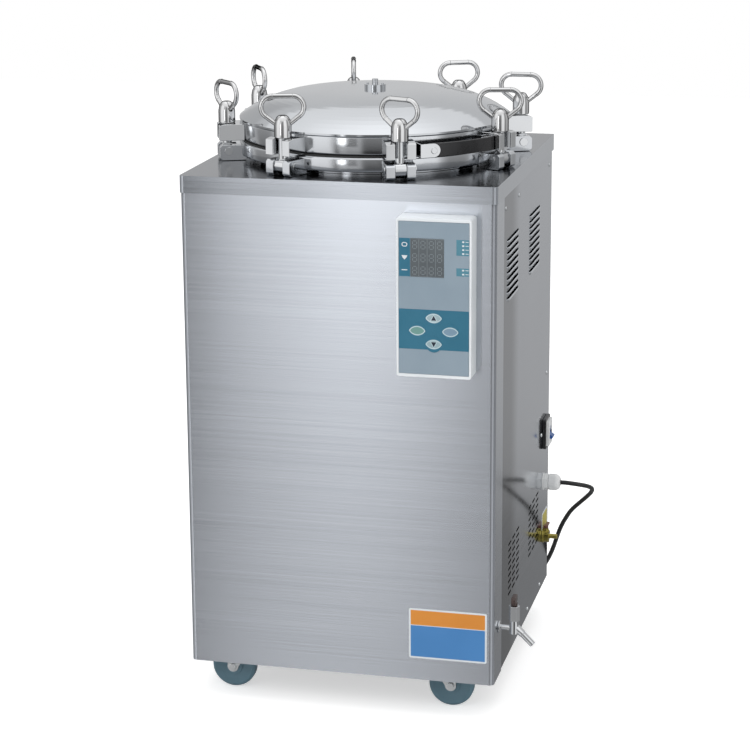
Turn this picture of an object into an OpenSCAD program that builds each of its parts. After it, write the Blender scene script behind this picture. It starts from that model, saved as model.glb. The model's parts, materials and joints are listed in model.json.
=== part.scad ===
// Vertical steam autoclave on casters: stainless cabinet, round pressure chamber,
// dished lid held by eight swing bolts with loop nuts. All sizes in millimetres, +Z up.
// The origin lies on the floor, below the middle of the object's box without its lead.

/* [Cabinet] */
// Distance from the lid flange's edge to the sides of the cabinet
side_margin = 32; // [28:1:50]
// Distance from the lid flange's edge to the front and the rear of the cabinet
front_margin = 42; // [38:1:60]
// Height from the lower edge of the panels to the top cover
cabinet_h = 828; // [790:10:900]
// Gap between the floor and the lower edge of the panels
floor_gap = 62; // [58:1:66]
// Thickness of the stainless sheet
sheet = 1.2; // [1:0.1:1.5]
// Outer radius of the bent vertical corners
corner_r = 8; // [6:1:10]
// Height of the skirt round the top cover
skirt_h = 28; // [20:1:40]
// How far the front panel wraps back along each side
return_d = 68; // [55:1:72]

/* [Chamber] */
// Inner radius of the pressure chamber
chamber_r = 170; // [150:5:200]
// Depth of the chamber's straight wall
chamber_depth = 550; // [450:10:560]
// Thickness of the chamber wall
chamber_wall = 3; // [2.5:0.5:4]
// How far the chamber flange and the lid reach out beyond the chamber's inside
flange_reach = 58; // [54:1:62]
// Height of the chamber flange
flange_h = 24; // [20:1:26]
// Gap between the top cover and the flange
flange_gap = 7; // [5:1:8]
// Rounding of the turned edges of the flange and the lid's ring
turned_round = 4; // [2:1:6]

/* [Lid] */
// Height of the lid's ring
ring_h = 31.6; // [28:0.2:34]
// Thickness of the seal between lid and flange
gasket_h = 2.4; // [2:0.2:3]
// Height of the dome above its rim
dome_h = 47; // [35:1:60]
// Thickness of the dome's skin
dome_wall = 3; // [2.5:0.5:4]
// Height of the lip round the dome
lip_h = 3; // [2:0.5:5]

/* [Swing bolts] */
// Number of bolts
bolt_count = 8; // [8:8]
// Distance from the lid flange's edge to the circle of bolts
bolt_offset = 22; // [21:1:24]
// Diameter of a bolt's shank
bolt_d = 15; // [12:1:16]
// Diameter of the eye at a bolt's foot
eye_d = 25; // [22:1:26]
// Diameter of the pivot pins
pin_d = 10; // [8:1:11]
// Width of the lugs that hold a bolt
lug_w = 48; // [46:1:56]
// Width of the slot in a lug
slot_w = 19; // [18:0.5:20]
// Diameter of a nut's barrel
nut_d = 28; // [26:1:30]
// Height of a nut's barrel
nut_h = 35.6; // [33:0.2:38]
// Thickness of a nut's wire loop
loop_wire_d = 7.8; // [6:0.2:8]
// Outer width of a nut's wire loop
loop_w = 76; // [70:1:78]

/* [Control box] */
// Width of the control box
box_w = 120; // [116:1:135]
// Height of the control box
box_h = 255; // [245:5:290]
// How far the control box stands out
box_d = 41.5; // [30:0.5:50]

/* [Casters] */
// Diameter of a caster wheel
wheel_d = 76; // [70:1:78]
// Width of a caster wheel
wheel_w = 22; // [18:1:24]
// Distance from swivel axis to wheel axle
trail = 24; // [20:1:26]
// Distance from the left side to the swivel axes
caster_inset_left = 84; // [82:1:110]
// Distance from the right side to the swivel axes
caster_inset_right = 106; // [82:1:110]
// Distance from front and rear to the swivel axes
caster_inset_y = 58; // [56:1:90]

/* [Hidden] */

// Seats, running fits and cuts
seat_gap = 0.3;
run_gap = 0.06;
over = 1;
round_fn = 96;
small_fn = 40;
tiny_fn = 24;
edge_steps = 4;

// The cabinet is built round the chamber
flange_r = chamber_r + flange_reach;
bolt_circle_r = flange_r + bolt_offset;
cabinet_w = 2 * (flange_r + side_margin);
cabinet_d = 2 * (flange_r + front_margin);

// Heights of the main levels
top_z = floor_gap + cabinet_h;
pan_rise = 38;
pan_z = floor_gap + pan_rise;
pan_t = 2;
frame_plate_t = 3;
frame_drop = 15;
frame_z = top_z - frame_drop;
neck_h = 12;
flange_z = top_z + flange_gap;
seal_z = flange_z + flange_h;
ring_z = seal_z + gasket_h;
rim_z = ring_z + ring_h;
apex_z = rim_z + dome_h;

// Panels stand just inside the skirt of the top cover
skirt_fit = 0.3;
panel_x = cabinet_w / 2 - sheet - skirt_fit;
panel_y = cabinet_d / 2 - sheet - skirt_fit;
side_x = panel_x - sheet - seat_gap;
side_overlap = 10;
panel_h = cabinet_h - sheet - seat_gap;

// Frame posts and pan
post_w = 20;
post_t = 3;
pan_edge = 20;
deck_lap = 12;
frame_x = side_x - sheet - seat_gap;
frame_y = panel_y - sheet - seat_gap;

// Chamber
bottom_z = seal_z - chamber_depth;
dish_h = 45;
dish_steps = 10;
neck_w = 27;
neck_r = chamber_r + chamber_wall + neck_w + seat_gap;
cover_hole_gap = 3;
cover_hole_r = neck_r + cover_hole_gap;
deck_hole = 2 * (neck_r - deck_lap);
ledge_w = 9;
ledge_h = 3;
grid_rise = 55;
grid_z = bottom_z + grid_rise;
grid_t = 2;
grid_play = 2;
grid_hole_d = 14;
grid_rings = 4;
grid_pitch = chamber_r / (grid_rings + 1);
ring_holes = 6;
drain_pipe_d = 12;

// Heating tube
heater_inset = 65;
heater_r = chamber_r - heater_inset;
heater_tube_d = 10;
heater_gap_angle = 14;
heater_rise = 8;
heater_z = bottom_z + heater_rise;
heater_tail = 25;
heater_sleeve_d = 13;

// Lugs, forks and pins
pin_rise = 16;
pin_z = top_z + pin_rise;
lug_root = 8;
lug_reach = 15;
lug_foot = 0.6;
lug_top = 10;
lug_chamfer = 4;
eye_gap = 2;
slot_back = 1;
seat_drop = 4.4;
seat_z = rim_z - seat_drop;
seat_reach = seat_z - pin_z;
relief_steps = 5;
pin_head_d = 14;
pin_head_t = 2;

// Nuts
nut_z = seat_z + seat_gap;
nut_top = nut_z + nut_h;
nut_shoulder = 16;
nut_edge = 1;
nut_waist = 1.4;
nut_crown = 2.5;
nut_crown_d = 13;
nut_crown_slope = 3;
nut_bore_end = 5.5;
bolt_end = 6.5;
loop_rise = 31;
loop_top = nut_top + loop_rise;
loop_corner_r = 18;
loop_root_x = 10.5;
loop_root_drop = 14;
loop_root_z = nut_top - loop_root_drop;
loop_lap = 1;
loop_swell = 0.2;

// Direction of each bolt seen from above, from the front towards the right side
bolt_step = 360 / bolt_count;
function bolt_angle(k) = bolt_step * (k - 0.5);
// How far each nut was left turned, measured from the tangent of the bolt circle
loop_yaw = [-44, -54, -112, -132, 82, 56, 24, 38];

// Lid ring, seal, boss and handles
lid_play = 4;
lid_r = flange_r - lid_play;
gasket_inset = 3;
gasket_lip = 5;
dome_steps = 24;
dome_power = 4;
dome_seat = 14;
dome_seat_share = 1 - dome_seat / flange_r;
boss_d = 36;
boss_h = 6.5;
cap_d = 10;
cap_h = 8.5;
boss_screw_d = 4.5;
boss_screw_x = 13;
boss_screw_h = 1.6;
handle_angles = [45, 225];
handle_h = 22;
handle_rise = 11.5;
handle_mid_z = ring_z + handle_rise;
grip_offset = 1;
grip_r = bolt_circle_r + grip_offset;
grip_t = 6;
grip_end_gap = 1.5;
grip_start = -12;
grip_end = bolt_step / 2 - asin((lug_w / 2 + grip_end_gap) / grip_r);
tab_t = 2.5;
tab_h = 22;
tab_len = 34;
tab_turn = -10.4;
back_tab_w = 22;
back_web_x = 6;
back_tab_turn = grip_end - asin(back_tab_w / 2 / grip_r);
rivet_head_d = 10;
rivet_head_t = 1.8;

// Control box
box_side_gap = 31;
box_top_gap = 45.5;
box_x = panel_x - box_side_gap - box_w / 2;
box_z = top_z - box_top_gap - box_h / 2;
box_wall = 2.5;
box_front = 5;
box_rim = 3.5;
box_end_rim = 5;
box_recess_r = 1;
membrane_t = 1;
rim_h = 0.6;
panel_inset = membrane_t + rim_h;
key_w = 26;
key_flat_share = 0.3;
key_arc_share = 1.2;
key_dx = 26.5;
key_dz = 21;
key_drop = 52;
key_z = box_z - key_drop;
key_places = [[0, key_dz], [0, -key_dz], [-key_dx, 0], [key_dx, 0]];
key_t = 2;
key_proud = 0.5;
key_gap = 0.3;
window_w = 53;
window_h = 61;
window_dx = -10.5;
window_dz = 65;
window_x = box_x + window_dx;
window_z = box_z + window_dz;
window_t = 1.3;
face_y = -panel_y - box_d;

// Louvres and vents in the side panels
louvre_n = 10;
louvre_len = 108;
louvre_pitch = 10.7;
louvre_slot = 3;
louvre_out = 3;
louvre_h = 6;
louvre_front_gap = 152.5;
louvre_rear_gap = 176.5;
louvre_y = [-panel_y + louvre_front_gap, panel_y - louvre_rear_gap];
louvre_drop = 103;
louvre_top = top_z - louvre_drop;
vent_rows = 9;
vent_cols = 3;
vent_len = 26;
vent_h = 4;
vent_pitch_y = 37;
vent_pitch_z = 11;
vent_front_gap = 185.5;
vent_rear_gap = 155.5;
vent_y = [-panel_y + vent_front_gap, panel_y - vent_rear_gap];
vent_rise = 196;
vent_top = floor_gap + vent_rise;

// Circuit breaker
breaker_rear_gap = 44.5;
breaker_rise = 292;
breaker_y = panel_y - breaker_rear_gap;
breaker_z = floor_gap + breaker_rise;
breaker_w = 46;
breaker_h = 56;
breaker_t = 6;
breaker_body_w = 36;
breaker_body_h = 45;
breaker_body_out = 5;
breaker_body_in = 30;
breaker_axle_d = 4;
breaker_axle_in = 2;
breaker_cut_gap = 1;
breaker_slot_h = 24;
breaker_axle_l = 23;
breaker_axle_bore = 24;
toggle_w = 18;
toggle_hub_d = 16;
toggle_out = 17;
toggle_t = 6;
toggle_rest = 35;

// Cable gland
gland_rear_gap = 53.5;
gland_rise = 200;
gland_y = panel_y - gland_rear_gap;
gland_z = floor_gap + gland_rise;
gland_d = 26;
gland_washer_d = 29;
gland_washer_t = 2;
gland_hex_d = 28;
gland_hex_t = 8;
gland_neck_d = 20;
gland_neck_t = 4;
gland_dome_t = 11;
gland_shoulder_d = 25;
gland_nose_t = 7;
gland_nose_d = 14;
gland_tail = 12;
gland_thread_d = 20;

// Valves on the right side
exhaust_rear_gap = 55.5;
exhaust_rise = 97;
exhaust_y = panel_y - exhaust_rear_gap;
exhaust_z = floor_gap + exhaust_rise;
exhaust_hex_d = 25;
exhaust_hex_t = 12;
exhaust_foot_t = 3;
spigot_d = 8.5;
spigot_len = 15;
spigot_bore = 5;
stem_h = 15;
stem_case_d = 10;
stem_bore_l = 4;
stem_pin_d = 3;
stem_pin_l = 3.5;
lever_l = 26;
lever_w = 6;
lever_t = 3;
lever_hub_d = 9;
lever_hub_t = 5;
drain_front_gap = 40.5;
drain_rise = 88;
drain_y = -panel_y + drain_front_gap;
drain_z = floor_gap + drain_rise;
drain_flange_d = 20;
drain_flange_t = 3;
drain_x = 26;
nipple_d = 9;
tap_tail = 5.5;
drain_body_d = 16;
drain_body_down = 9;
drain_body_up = 14;
bonnet_d = 19;
bonnet_h = 25;
handle_stem_d = 6;
handle_stem_h = 5;
handle_stem_l = 7.5;
handle_bore_l = 8;
wing_hub_d = 11;
wing_w = 22;
wing_h = 12;
wing_t = 7;
spout_d = 10.8;
spout_bore = 7.6;
spout_len = 44.4;
spout_collar_d = 12.6;
spout_collar_l = 20;
spout_rise = 5;
spout_tilt = 135;
pipe_hole_gap = 1.5;
bend_r = 30;
exhaust_top_drop = 60;
exhaust_top_z = top_z - exhaust_top_drop;
exhaust_pipe_d = 10;

// Places below are measured from the middle of the cabinet. Its box reaches from the
// cover's left edge to the tip of the spout, and from the control box to the cover's rear.
spout_tip_x = panel_x + seat_gap + drain_x + spout_len * sin(spout_tilt) - spout_d / 2 * cos(spout_tilt);
origin_x = (spout_tip_x - cabinet_w / 2) / 2;
origin_y = (cabinet_d / 2 + face_y) / 2;

// Casters
caster_plate_w = 80;
caster_plate_d = 62;
caster_plate_t = 3;
raceway_d = 44;
raceway_h = 4;
crown_d = 42;
crown_h = 4;
kingpin_d = 12;
leg_t = 2.5;
leg_gap = 2;
axle_d = 8;
axle_boss_d = 19;
axle_head_d = 13;
axle_head_t = 4;
leg_top_w = 36;
leg_foot = 3;
hub_d = 30;
hub_gap = 0.8;
web_inset = 1;
hub_inset = 2;
tread_drop = 1;
tread_edge = 3;
tread_inset = 6;
tyre_round = 5;
crown_z = pan_z - caster_plate_t - raceway_h - seat_gap;
swivel_x = [cabinet_w / 2 - caster_inset_right, -cabinet_w / 2 + caster_inset_left];
swivel_y = cabinet_d / 2 - caster_inset_y;

// Mains lead: points chosen by hand from the gland to the floor behind the cabinet,
// measured from the outside of the right panel, the rear panel and the floor
cord_d = 8;
cord_sides = 8;
cord_route = [
    [32, -53.5, 262], [42, -53.5, 262], [52, -52.5, 261], [64, -49.5, 259], [75, -41.5, 255],
    [82, -29.5, 249], [84, -15.5, 241], [80, -1.5, 230], [70, 9.5, 217], [56, 16.5, 202],
    [42, 20.5, 187], [31, 22.5, 170], [22, 24.5, 152], [15, 25.5, 133], [9, 26.5, 114],
    [2, 27.5, 95], [-7, 28.5, 77], [-18, 28.5, 60], [-32, 28.5, 44], [-49, 28.5, 30],
    [-68, 28.5, 19], [-88, 28.5, 11], [-109, 28.5, 6], [-129, 28.5, 4], [-143, 28.5, 4]
];

// Coil of the rest of the lead: two turns in, two turns out on top of them
coil_x = -167;
coil_y = 84.5;
coil_r = 56;
coil_pitch = 8.7;
coil_turns = 4;
coil_rings = 24;
coil_entry = 10;
coil_lead = 30;
coil_skip = 8;
plug_len = 42;
plug_w = 36;
plug_h = 25;
plug_relief_len = 24;
plug_relief_d = 13;
plug_entry_d = 10;
plug_pin_turn = 30;
plug_pin_l = 19;
plug_pin_w = 6.3;
plug_pin_t = 2;
plug_pin_dx = 8;

// Colours
steel = [0.72, 0.73, 0.75];
chrome = [0.82, 0.83, 0.85];
zinc = [0.66, 0.68, 0.7];
black = [0.09, 0.09, 0.1];
white = [0.93, 0.94, 0.95];
greyblue = [0.53, 0.6, 0.66];
teal = [0.2, 0.47, 0.56];
brass = [0.6, 0.52, 0.2];
rubber_blue = [0.33, 0.43, 0.47];
brown = [0.4, 0.24, 0.2];
switch_blue = [0.15, 0.35, 0.65];

// Helpers

module placed() translate([-origin_x, -origin_y, 0]) children();

module round_rect(w, h, r) {
    square([w - 2 * r, h], center = true);
    square([w, h - 2 * r], center = true);
    for (sx = [-1, 1], sy = [-1, 1])
        translate([sx * (w / 2 - r), sy * (h / 2 - r)]) circle(r, $fn = small_fn);
}

// Rectangle rounded only at its lower corners, the front of the cabinet
module front_round(w, d, r) {
    translate([-w / 2, -d / 2 + r]) square([w, d - r]);
    translate([-w / 2 + r, -d / 2]) square([w - 2 * r, d]);
    for (s = [-1, 1]) translate([s * (w / 2 - r), -d / 2 + r]) circle(r, $fn = small_fn);
}

module at_bolt(k) {
    rotate(bolt_angle(k)) translate([0, -bolt_circle_r, 0]) children();
}

// Turns a profile of (radius, height) drawn outwards into a slab across a bolt's tangent
module radial_slab(w) {
    rotate([90, 0, -90]) translate([0, 0, -w / 2]) linear_extrude(w) children();
}

// Quarter turn of a rounded edge, counted from its first angle
function edge_arc(middle, r, start) = [for (i = [0:edge_steps])
    let (a = start + 90 * i / edge_steps) middle + r * [cos(a), sin(a)]];

// Turned ring between two heights, with its outer edges rounded
module turned_ring(inner, outer, z0, z1) rotate_extrude($fn = round_fn) polygon(concat(
    [[inner, z0]],
    edge_arc([outer - turned_round, z0 + turned_round], turned_round, -90),
    edge_arc([outer - turned_round, z1 - turned_round], turned_round, 0),
    [[inner, z1]]));

module rod(d, a, b, fn = small_fn) {
    v = b - a;
    len = norm(v);
    translate(a) rotate([0, acos(v.z / len), atan2(v.y, v.x)]) cylinder(d = d, h = len, $fn = fn);
}

// Axis of a tube or a valve that leaves the right side
module from_right(y, z) {
    translate([side_x + seat_gap, y, z]) rotate([0, 90, 0]) children();
}

// Cabinet

module base_pan() color(steel) {
    w = 2 * frame_x;
    d = 2 * frame_y;
    difference() {
        translate([0, 0, pan_z]) linear_extrude(pan_edge) front_round(w, d, corner_r);
        translate([0, 0, pan_z + pan_t]) linear_extrude(pan_edge)
            front_round(w - 2 * pan_t, d - 2 * pan_t, corner_r - pan_t);
    }
    for (x = swivel_x, s = [-1, 1]) translate([x, s * swivel_y, 0]) difference() {
        union() {
            translate([0, 0, pan_z - caster_plate_t]) linear_extrude(caster_plate_t)
                round_rect(caster_plate_w, caster_plate_d, corner_r);
            translate([0, 0, pan_z - caster_plate_t - raceway_h])
                cylinder(d = raceway_d, h = raceway_h, $fn = round_fn);
        }
        translate([0, 0, pan_z - caster_plate_t - raceway_h - over])
            cylinder(d = kingpin_d + 2 * run_gap, h = caster_plate_t + raceway_h + over, $fn = round_fn);
    }
}

// Frame of four angle posts under a deck; its front corners follow those of the pan
module support_frame() color(zinc) {
    post_z = pan_z + pan_t + seat_gap;
    in_x = frame_x - pan_t - seat_gap;
    in_y = frame_y - pan_t - seat_gap;
    translate([0, 0, post_z]) linear_extrude(frame_z - post_z) intersection() {
        front_round(2 * in_x, 2 * in_y, corner_r - pan_t - seat_gap);
        for (sx = [-1, 1], sy = [-1, 1]) scale([sx, sy]) translate([in_x, in_y]) rotate(180) {
            square([post_w, post_t]);
            square([post_t, post_w]);
        }
    }
    translate([0, 0, frame_z]) linear_extrude(frame_plate_t) difference() {
        front_round(2 * in_x, 2 * in_y, corner_r - pan_t - seat_gap);
        round_rect(deck_hole, deck_hole, corner_r);
    }
}

module front_panel() color(steel) difference() {
    translate([0, 0, floor_gap]) linear_extrude(panel_h) difference() {
        intersection() {
            front_round(2 * panel_x, 2 * panel_y, corner_r);
            translate([-panel_x, -panel_y]) square([2 * panel_x, return_d]);
        }
        translate([0, sheet + over])
            front_round(2 * (panel_x - sheet), 2 * (panel_y + over), corner_r - sheet);
    }
    translate([side_x, drain_y, drain_z]) rotate([0, 90, 0])
        cylinder(d = nipple_d + pipe_hole_gap, h = 2 * side_overlap, center = true, $fn = small_fn);
}

module louvres() for (y = louvre_y, i = [0:louvre_n - 1])
    translate([side_x, y - louvre_len / 2, louvre_top - i * louvre_pitch])
        rotate([90, 0, 180]) mirror([1, 0, 0]) linear_extrude(louvre_len)
            polygon([[-sheet / 2, 0], [louvre_out, -louvre_h + sheet], [louvre_out, -louvre_h],
                     [louvre_out - sheet, -louvre_h], [-sheet / 2, -sheet - sheet / 2]]);

module louvre_slots() for (y = louvre_y, i = [0:louvre_n - 1])
    translate([side_x - sheet - over, y - louvre_len / 2 + sheet,
               louvre_top - i * louvre_pitch - louvre_h - louvre_slot / 2])
        cube([sheet + 2 * over, louvre_len - 2 * sheet, louvre_slot]);

module vent_slots() for (y = vent_y, c = [0:vent_cols - 1], r = [0:vent_rows - 1])
    translate([side_x - sheet / 2, y + (c - (vent_cols - 1) / 2) * vent_pitch_y,
               vent_top - r * vent_pitch_z])
        cube([sheet + 2 * over, vent_len, vent_h], center = true);

module side_sheet() {
    y0 = -panel_y + return_d - side_overlap;
    translate([side_x - sheet, y0, floor_gap]) cube([sheet, panel_y - y0, panel_h]);
    translate([side_x - pan_edge, panel_y - sheet, floor_gap]) cube([pan_edge, sheet, panel_h]);
}

module right_side_panel() color(steel) {
    difference() {
        side_sheet();
        louvre_slots();
        vent_slots();
        translate([side_x, breaker_y, breaker_z])
            cube([2 * (sheet + over), breaker_body_w + 2 * breaker_cut_gap,
                  breaker_body_h + 2 * breaker_cut_gap], center = true);
        for (p = [[gland_y, gland_z, gland_thread_d], [exhaust_y, exhaust_z, exhaust_pipe_d]])
            translate([side_x - sheet - over, p[0], p[1]]) rotate([0, 90, 0])
                cylinder(d = p[2] + pipe_hole_gap, h = sheet + 2 * over, $fn = small_fn);
    }
    louvres();
}

module left_side_panel() color(steel) mirror([1, 0, 0]) {
    difference() {
        side_sheet();
        louvre_slots();
    }
    louvres();
}

module rear_panel() color(steel) {
    x = side_x - pan_edge - seat_gap;
    translate([-x, panel_y - sheet, floor_gap]) cube([2 * x, sheet, panel_h]);
}

module top_cover() color(steel) {
    difference() {
        translate([0, 0, top_z - skirt_h]) linear_extrude(skirt_h)
            front_round(cabinet_w, cabinet_d, corner_r);
        translate([0, 0, top_z - skirt_h - over]) linear_extrude(skirt_h + over - sheet)
            front_round(cabinet_w - 2 * sheet, cabinet_d - 2 * sheet, corner_r - sheet);
        translate([0, 0, top_z - sheet - over])
            cylinder(r = cover_hole_r, h = sheet + 2 * over, $fn = round_fn);
    }
}

// Chamber

function dish(r, depth, z) = [for (i = [0:dish_steps])
    let (a = 90 * i / dish_steps) [r * sin(a), z - depth * cos(a)]];

module chamber_shell() color(steel) difference() {
    union() {
        rotate_extrude($fn = round_fn) polygon(concat(
            dish(chamber_r + chamber_wall, dish_h + chamber_wall, bottom_z),
            [[chamber_r + chamber_wall, seal_z], [chamber_r, seal_z]],
            [for (i = [dish_steps:-1:0]) dish(chamber_r, dish_h, bottom_z)[i]]));
        rotate_extrude($fn = round_fn)
            translate([chamber_r - ledge_w, grid_z - ledge_h]) square([ledge_w + chamber_wall / 2, ledge_h]);
    }
    cylinder(d = drain_pipe_d + 2 * seat_gap, h = bottom_z, $fn = small_fn);
    for (s = [-1, 1]) translate([s * heater_r * sin(heater_gap_angle), -heater_r * cos(heater_gap_angle), 0])
        cylinder(d = heater_sleeve_d + 2 * seat_gap, h = bottom_z, $fn = small_fn);
    translate([0, chamber_r - 2 * chamber_wall, exhaust_top_z]) rotate([-90, 0, 0])
        cylinder(d = exhaust_pipe_d + 2 * seat_gap, h = 4 * chamber_wall, $fn = small_fn);
}

module clevis_block() difference() {
    root = flange_r - lug_root - bolt_circle_r;
    z0 = top_z + lug_foot;
    z1 = pin_z + lug_top;
    radial_slab(lug_w) polygon([[root, z0], [lug_reach - lug_chamfer, z0], [lug_reach, z0 + lug_chamfer],
        [lug_reach, z1 - lug_chamfer], [lug_reach - lug_chamfer, z1], [root, z1]]);
    translate([-slot_w / 2, -lug_reach - over, z0 - over])
        cube([slot_w, lug_reach + over + eye_d / 2 + eye_gap, z1 - z0 + 2 * over]);
    translate([-lug_w / 2 - over, 0, pin_z]) rotate([0, 90, 0])
        cylinder(d = pin_d + 2 * run_gap, h = lug_w + 2 * over, $fn = round_fn);
}

module chamber_flange() color(chrome) difference() {
    union() {
        translate([0, 0, top_z - neck_h])
            cylinder(r = neck_r, h = neck_h + flange_gap + over, $fn = round_fn);
        turned_ring(0, flange_r, flange_z, seal_z);
        for (k = [1:bolt_count]) at_bolt(k) clevis_block();
    }
    translate([0, 0, top_z - neck_h - over]) cylinder(r = chamber_r + chamber_wall + seat_gap,
        h = neck_h + flange_gap + flange_h + 2 * over, $fn = round_fn);
}

module clevis_pins() color(chrome) for (k = [1:bolt_count]) at_bolt(k)
    translate([0, 0, pin_z]) rotate([0, 90, 0]) {
        cylinder(d = pin_d, h = lug_w + 2 * seat_gap, center = true, $fn = round_fn);
        for (s = [-1, 1]) translate([0, 0, s * (lug_w / 2 + seat_gap + pin_head_t / 2)])
            cylinder(d = pin_head_d, h = pin_head_t, center = true, $fn = small_fn);
    }

module heating_element() color(zinc) {
    translate([0, 0, heater_z]) rotate(heater_gap_angle - 90)
        rotate_extrude(angle = 360 - 2 * heater_gap_angle, $fn = round_fn)
            translate([heater_r, 0]) circle(d = heater_tube_d, $fn = small_fn);
    for (s = [-1, 1]) translate([s * heater_r * sin(heater_gap_angle), -heater_r * cos(heater_gap_angle), 0])
        translate([0, 0, bottom_z - dish_h - heater_tail])
            cylinder(d = heater_sleeve_d, $fn = small_fn,
                     h = dish_h + heater_tail + heater_z - bottom_z + heater_sleeve_d / 2);
}

module chamber_grid() color(steel) difference() {
    translate([0, 0, grid_z + seat_gap]) cylinder(r = chamber_r - grid_play, h = grid_t, $fn = round_fn);
    for (ring = [0:grid_rings], i = [0:max(0, ring_holes * ring - 1)])
        rotate(ring == 0 ? 0 : 360 * i / (ring_holes * ring)) translate([ring * grid_pitch, 0, grid_z - over])
            cylinder(d = grid_hole_d, h = grid_t + 3 * over, $fn = tiny_fn);
}

// Quarter bend that starts along +Z at its origin and turns towards +X
module bend(d) translate([bend_r, 0, 0]) rotate([90, 0, 0]) rotate([0, 0, 90])
    rotate_extrude(angle = 90, $fn = round_fn) translate([bend_r, 0]) circle(d = d, $fn = small_fn);

module internal_pipes() color(brass) {
    drop = bottom_z - dish_h - chamber_wall;
    translate([0, 0, drain_z + bend_r])
        cylinder(d = drain_pipe_d, h = drop + 2 * chamber_wall - drain_z - bend_r, $fn = small_fn);
    translate([0, 0, drain_z + bend_r]) rotate([180, 0, 0]) rotate(90) bend(drain_pipe_d);
    rod(drain_pipe_d, [0, -bend_r, drain_z], [0, drain_y + bend_r, drain_z]);
    translate([0, drain_y + bend_r, drain_z]) rotate([90, 0, 0]) bend(drain_pipe_d);
    rod(drain_pipe_d, [bend_r, drain_y, drain_z], [panel_x - tap_tail - seat_gap, drain_y, drain_z]);
    start_y = chamber_r + chamber_wall / 2;
    rod(exhaust_pipe_d, [0, start_y, exhaust_top_z], [0, exhaust_y - bend_r, exhaust_top_z]);
    translate([0, exhaust_y - bend_r, exhaust_top_z]) rotate([-90, 0, 0]) rotate(90) bend(exhaust_pipe_d);
    rod(exhaust_pipe_d, [0, exhaust_y, exhaust_z + bend_r], [0, exhaust_y, exhaust_top_z - bend_r]);
    translate([0, exhaust_y, exhaust_z + bend_r]) rotate([180, 0, 0]) bend(exhaust_pipe_d);
    rod(exhaust_pipe_d, [bend_r, exhaust_y, exhaust_z], [side_x - sheet - over, exhaust_y, exhaust_z]);
}

// Lid

function dome_point(share) = [flange_r * share, apex_z - (dome_h - lip_h) * pow(share, dome_power)];

module lid_dome() color(chrome) {
    rotate_extrude($fn = round_fn) polygon(concat(
        [for (i = [0:dome_steps]) dome_point(i / dome_steps)],
        [[flange_r, rim_z], [flange_r - dome_seat, rim_z]],
        [for (i = [dome_steps:-1:0]) dome_point(dome_seat_share * i / dome_steps) - [0, dome_wall]]));
    translate([0, 0, apex_z - dome_wall / 2]) {
        cylinder(d = boss_d, h = boss_h + dome_wall / 2, $fn = small_fn);
        cylinder(d = cap_d, h = boss_h + cap_h + dome_wall / 2, $fn = small_fn);
        for (s = [-1, 1]) translate([s * boss_screw_x, 0, 0])
            cylinder(d = boss_screw_d, h = boss_h + boss_screw_h + dome_wall / 2, $fn = tiny_fn);
    }
}

// Fork lug: level top up to the pin's plane, then a round relief that lets the nut swing out
module fork_block() {
    root = lid_r - lug_root - bolt_circle_r;
    arc = [for (i = [relief_steps:-1:0])
        let (x = lug_reach * i / relief_steps) [x, pin_z + sqrt(pow(seat_reach, 2) - x * x)]];
    radial_slab(lug_w) polygon(concat([[root, ring_z], [lug_reach, ring_z]], arc, [[root, seat_z]]));
}

module lid_ring() color(chrome) turned_ring(chamber_r + chamber_wall + neck_w, lid_r, ring_z, rim_z);

module lid_forks() color(chrome) difference() {
    for (k = [1:bolt_count]) at_bolt(k) fork_block();
    translate([0, 0, ring_z - over]) cylinder(r = lid_r + seat_gap, h = ring_h + 2 * over, $fn = round_fn);
    for (k = [1:bolt_count]) at_bolt(k) translate([0, slot_back, ring_z - over]) {
        cylinder(d = slot_w, h = ring_h + 2 * over, $fn = small_fn);
        translate([-slot_w / 2, -lug_reach - slot_w, 0])
            cube([slot_w, lug_reach + slot_w, ring_h + 2 * over]);
    }
}

module lid_gasket() color(black) translate([0, 0, seal_z]) difference() {
    cylinder(r = flange_r - gasket_inset, h = gasket_h, $fn = round_fn);
    translate([0, 0, -over])
        cylinder(r = chamber_r + chamber_wall + gasket_lip, h = gasket_h + 2 * over, $fn = round_fn);
}

// Strap from just behind its front tab to the next lug
module handle_grips() color(black) for (a = handle_angles)
    translate([0, 0, handle_mid_z - handle_h / 2]) rotate(a - 90 + grip_start)
        rotate_extrude(angle = grip_end - grip_start, $fn = 2 * round_fn)
            translate([grip_r, 0]) square([grip_t, handle_h]);

// Web that stands on the lid's ring, on the side x of a tab whose face lies at a distance
module tab_web(x, face) {
    foot = sqrt(pow(lid_r + seat_gap, 2) - pow(abs(x) - tab_t, 2));
    translate([x > 0 ? x - tab_t : x, -face, -tab_h / 2]) cube([tab_t, face - foot, tab_h]);
}

module front_tab() {
    face = grip_r + grip_t + seat_gap;
    web_x = tab_len - tab_h / 2;
    translate([0, -face, 0]) rotate([90, 0, 0]) {
        linear_extrude(tab_t) {
            circle(d = tab_h, $fn = small_fn);
            translate([-web_x, -tab_h / 2]) square([web_x, tab_h]);
        }
        translate([0, 0, tab_t / 2]) cylinder(d = rivet_head_d, h = tab_t / 2 + rivet_head_t, $fn = small_fn);
    }
    tab_web(-web_x, face + tab_t);
}

module back_tab() {
    face = sqrt(pow(grip_r - seat_gap, 2) - pow(back_tab_w / 2, 2));
    translate([-back_tab_w / 2, -face, -tab_h / 2]) cube([back_tab_w, tab_t, tab_h]);
    tab_web(back_web_x, face);
}

module handle_tabs() color(chrome) for (a = handle_angles) translate([0, 0, handle_mid_z]) {
    rotate(a + tab_turn) front_tab();
    rotate(a + back_tab_turn) back_tab();
}

// Swing bolts and loop nuts, built at bolt number 1 and turned to their places

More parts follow.
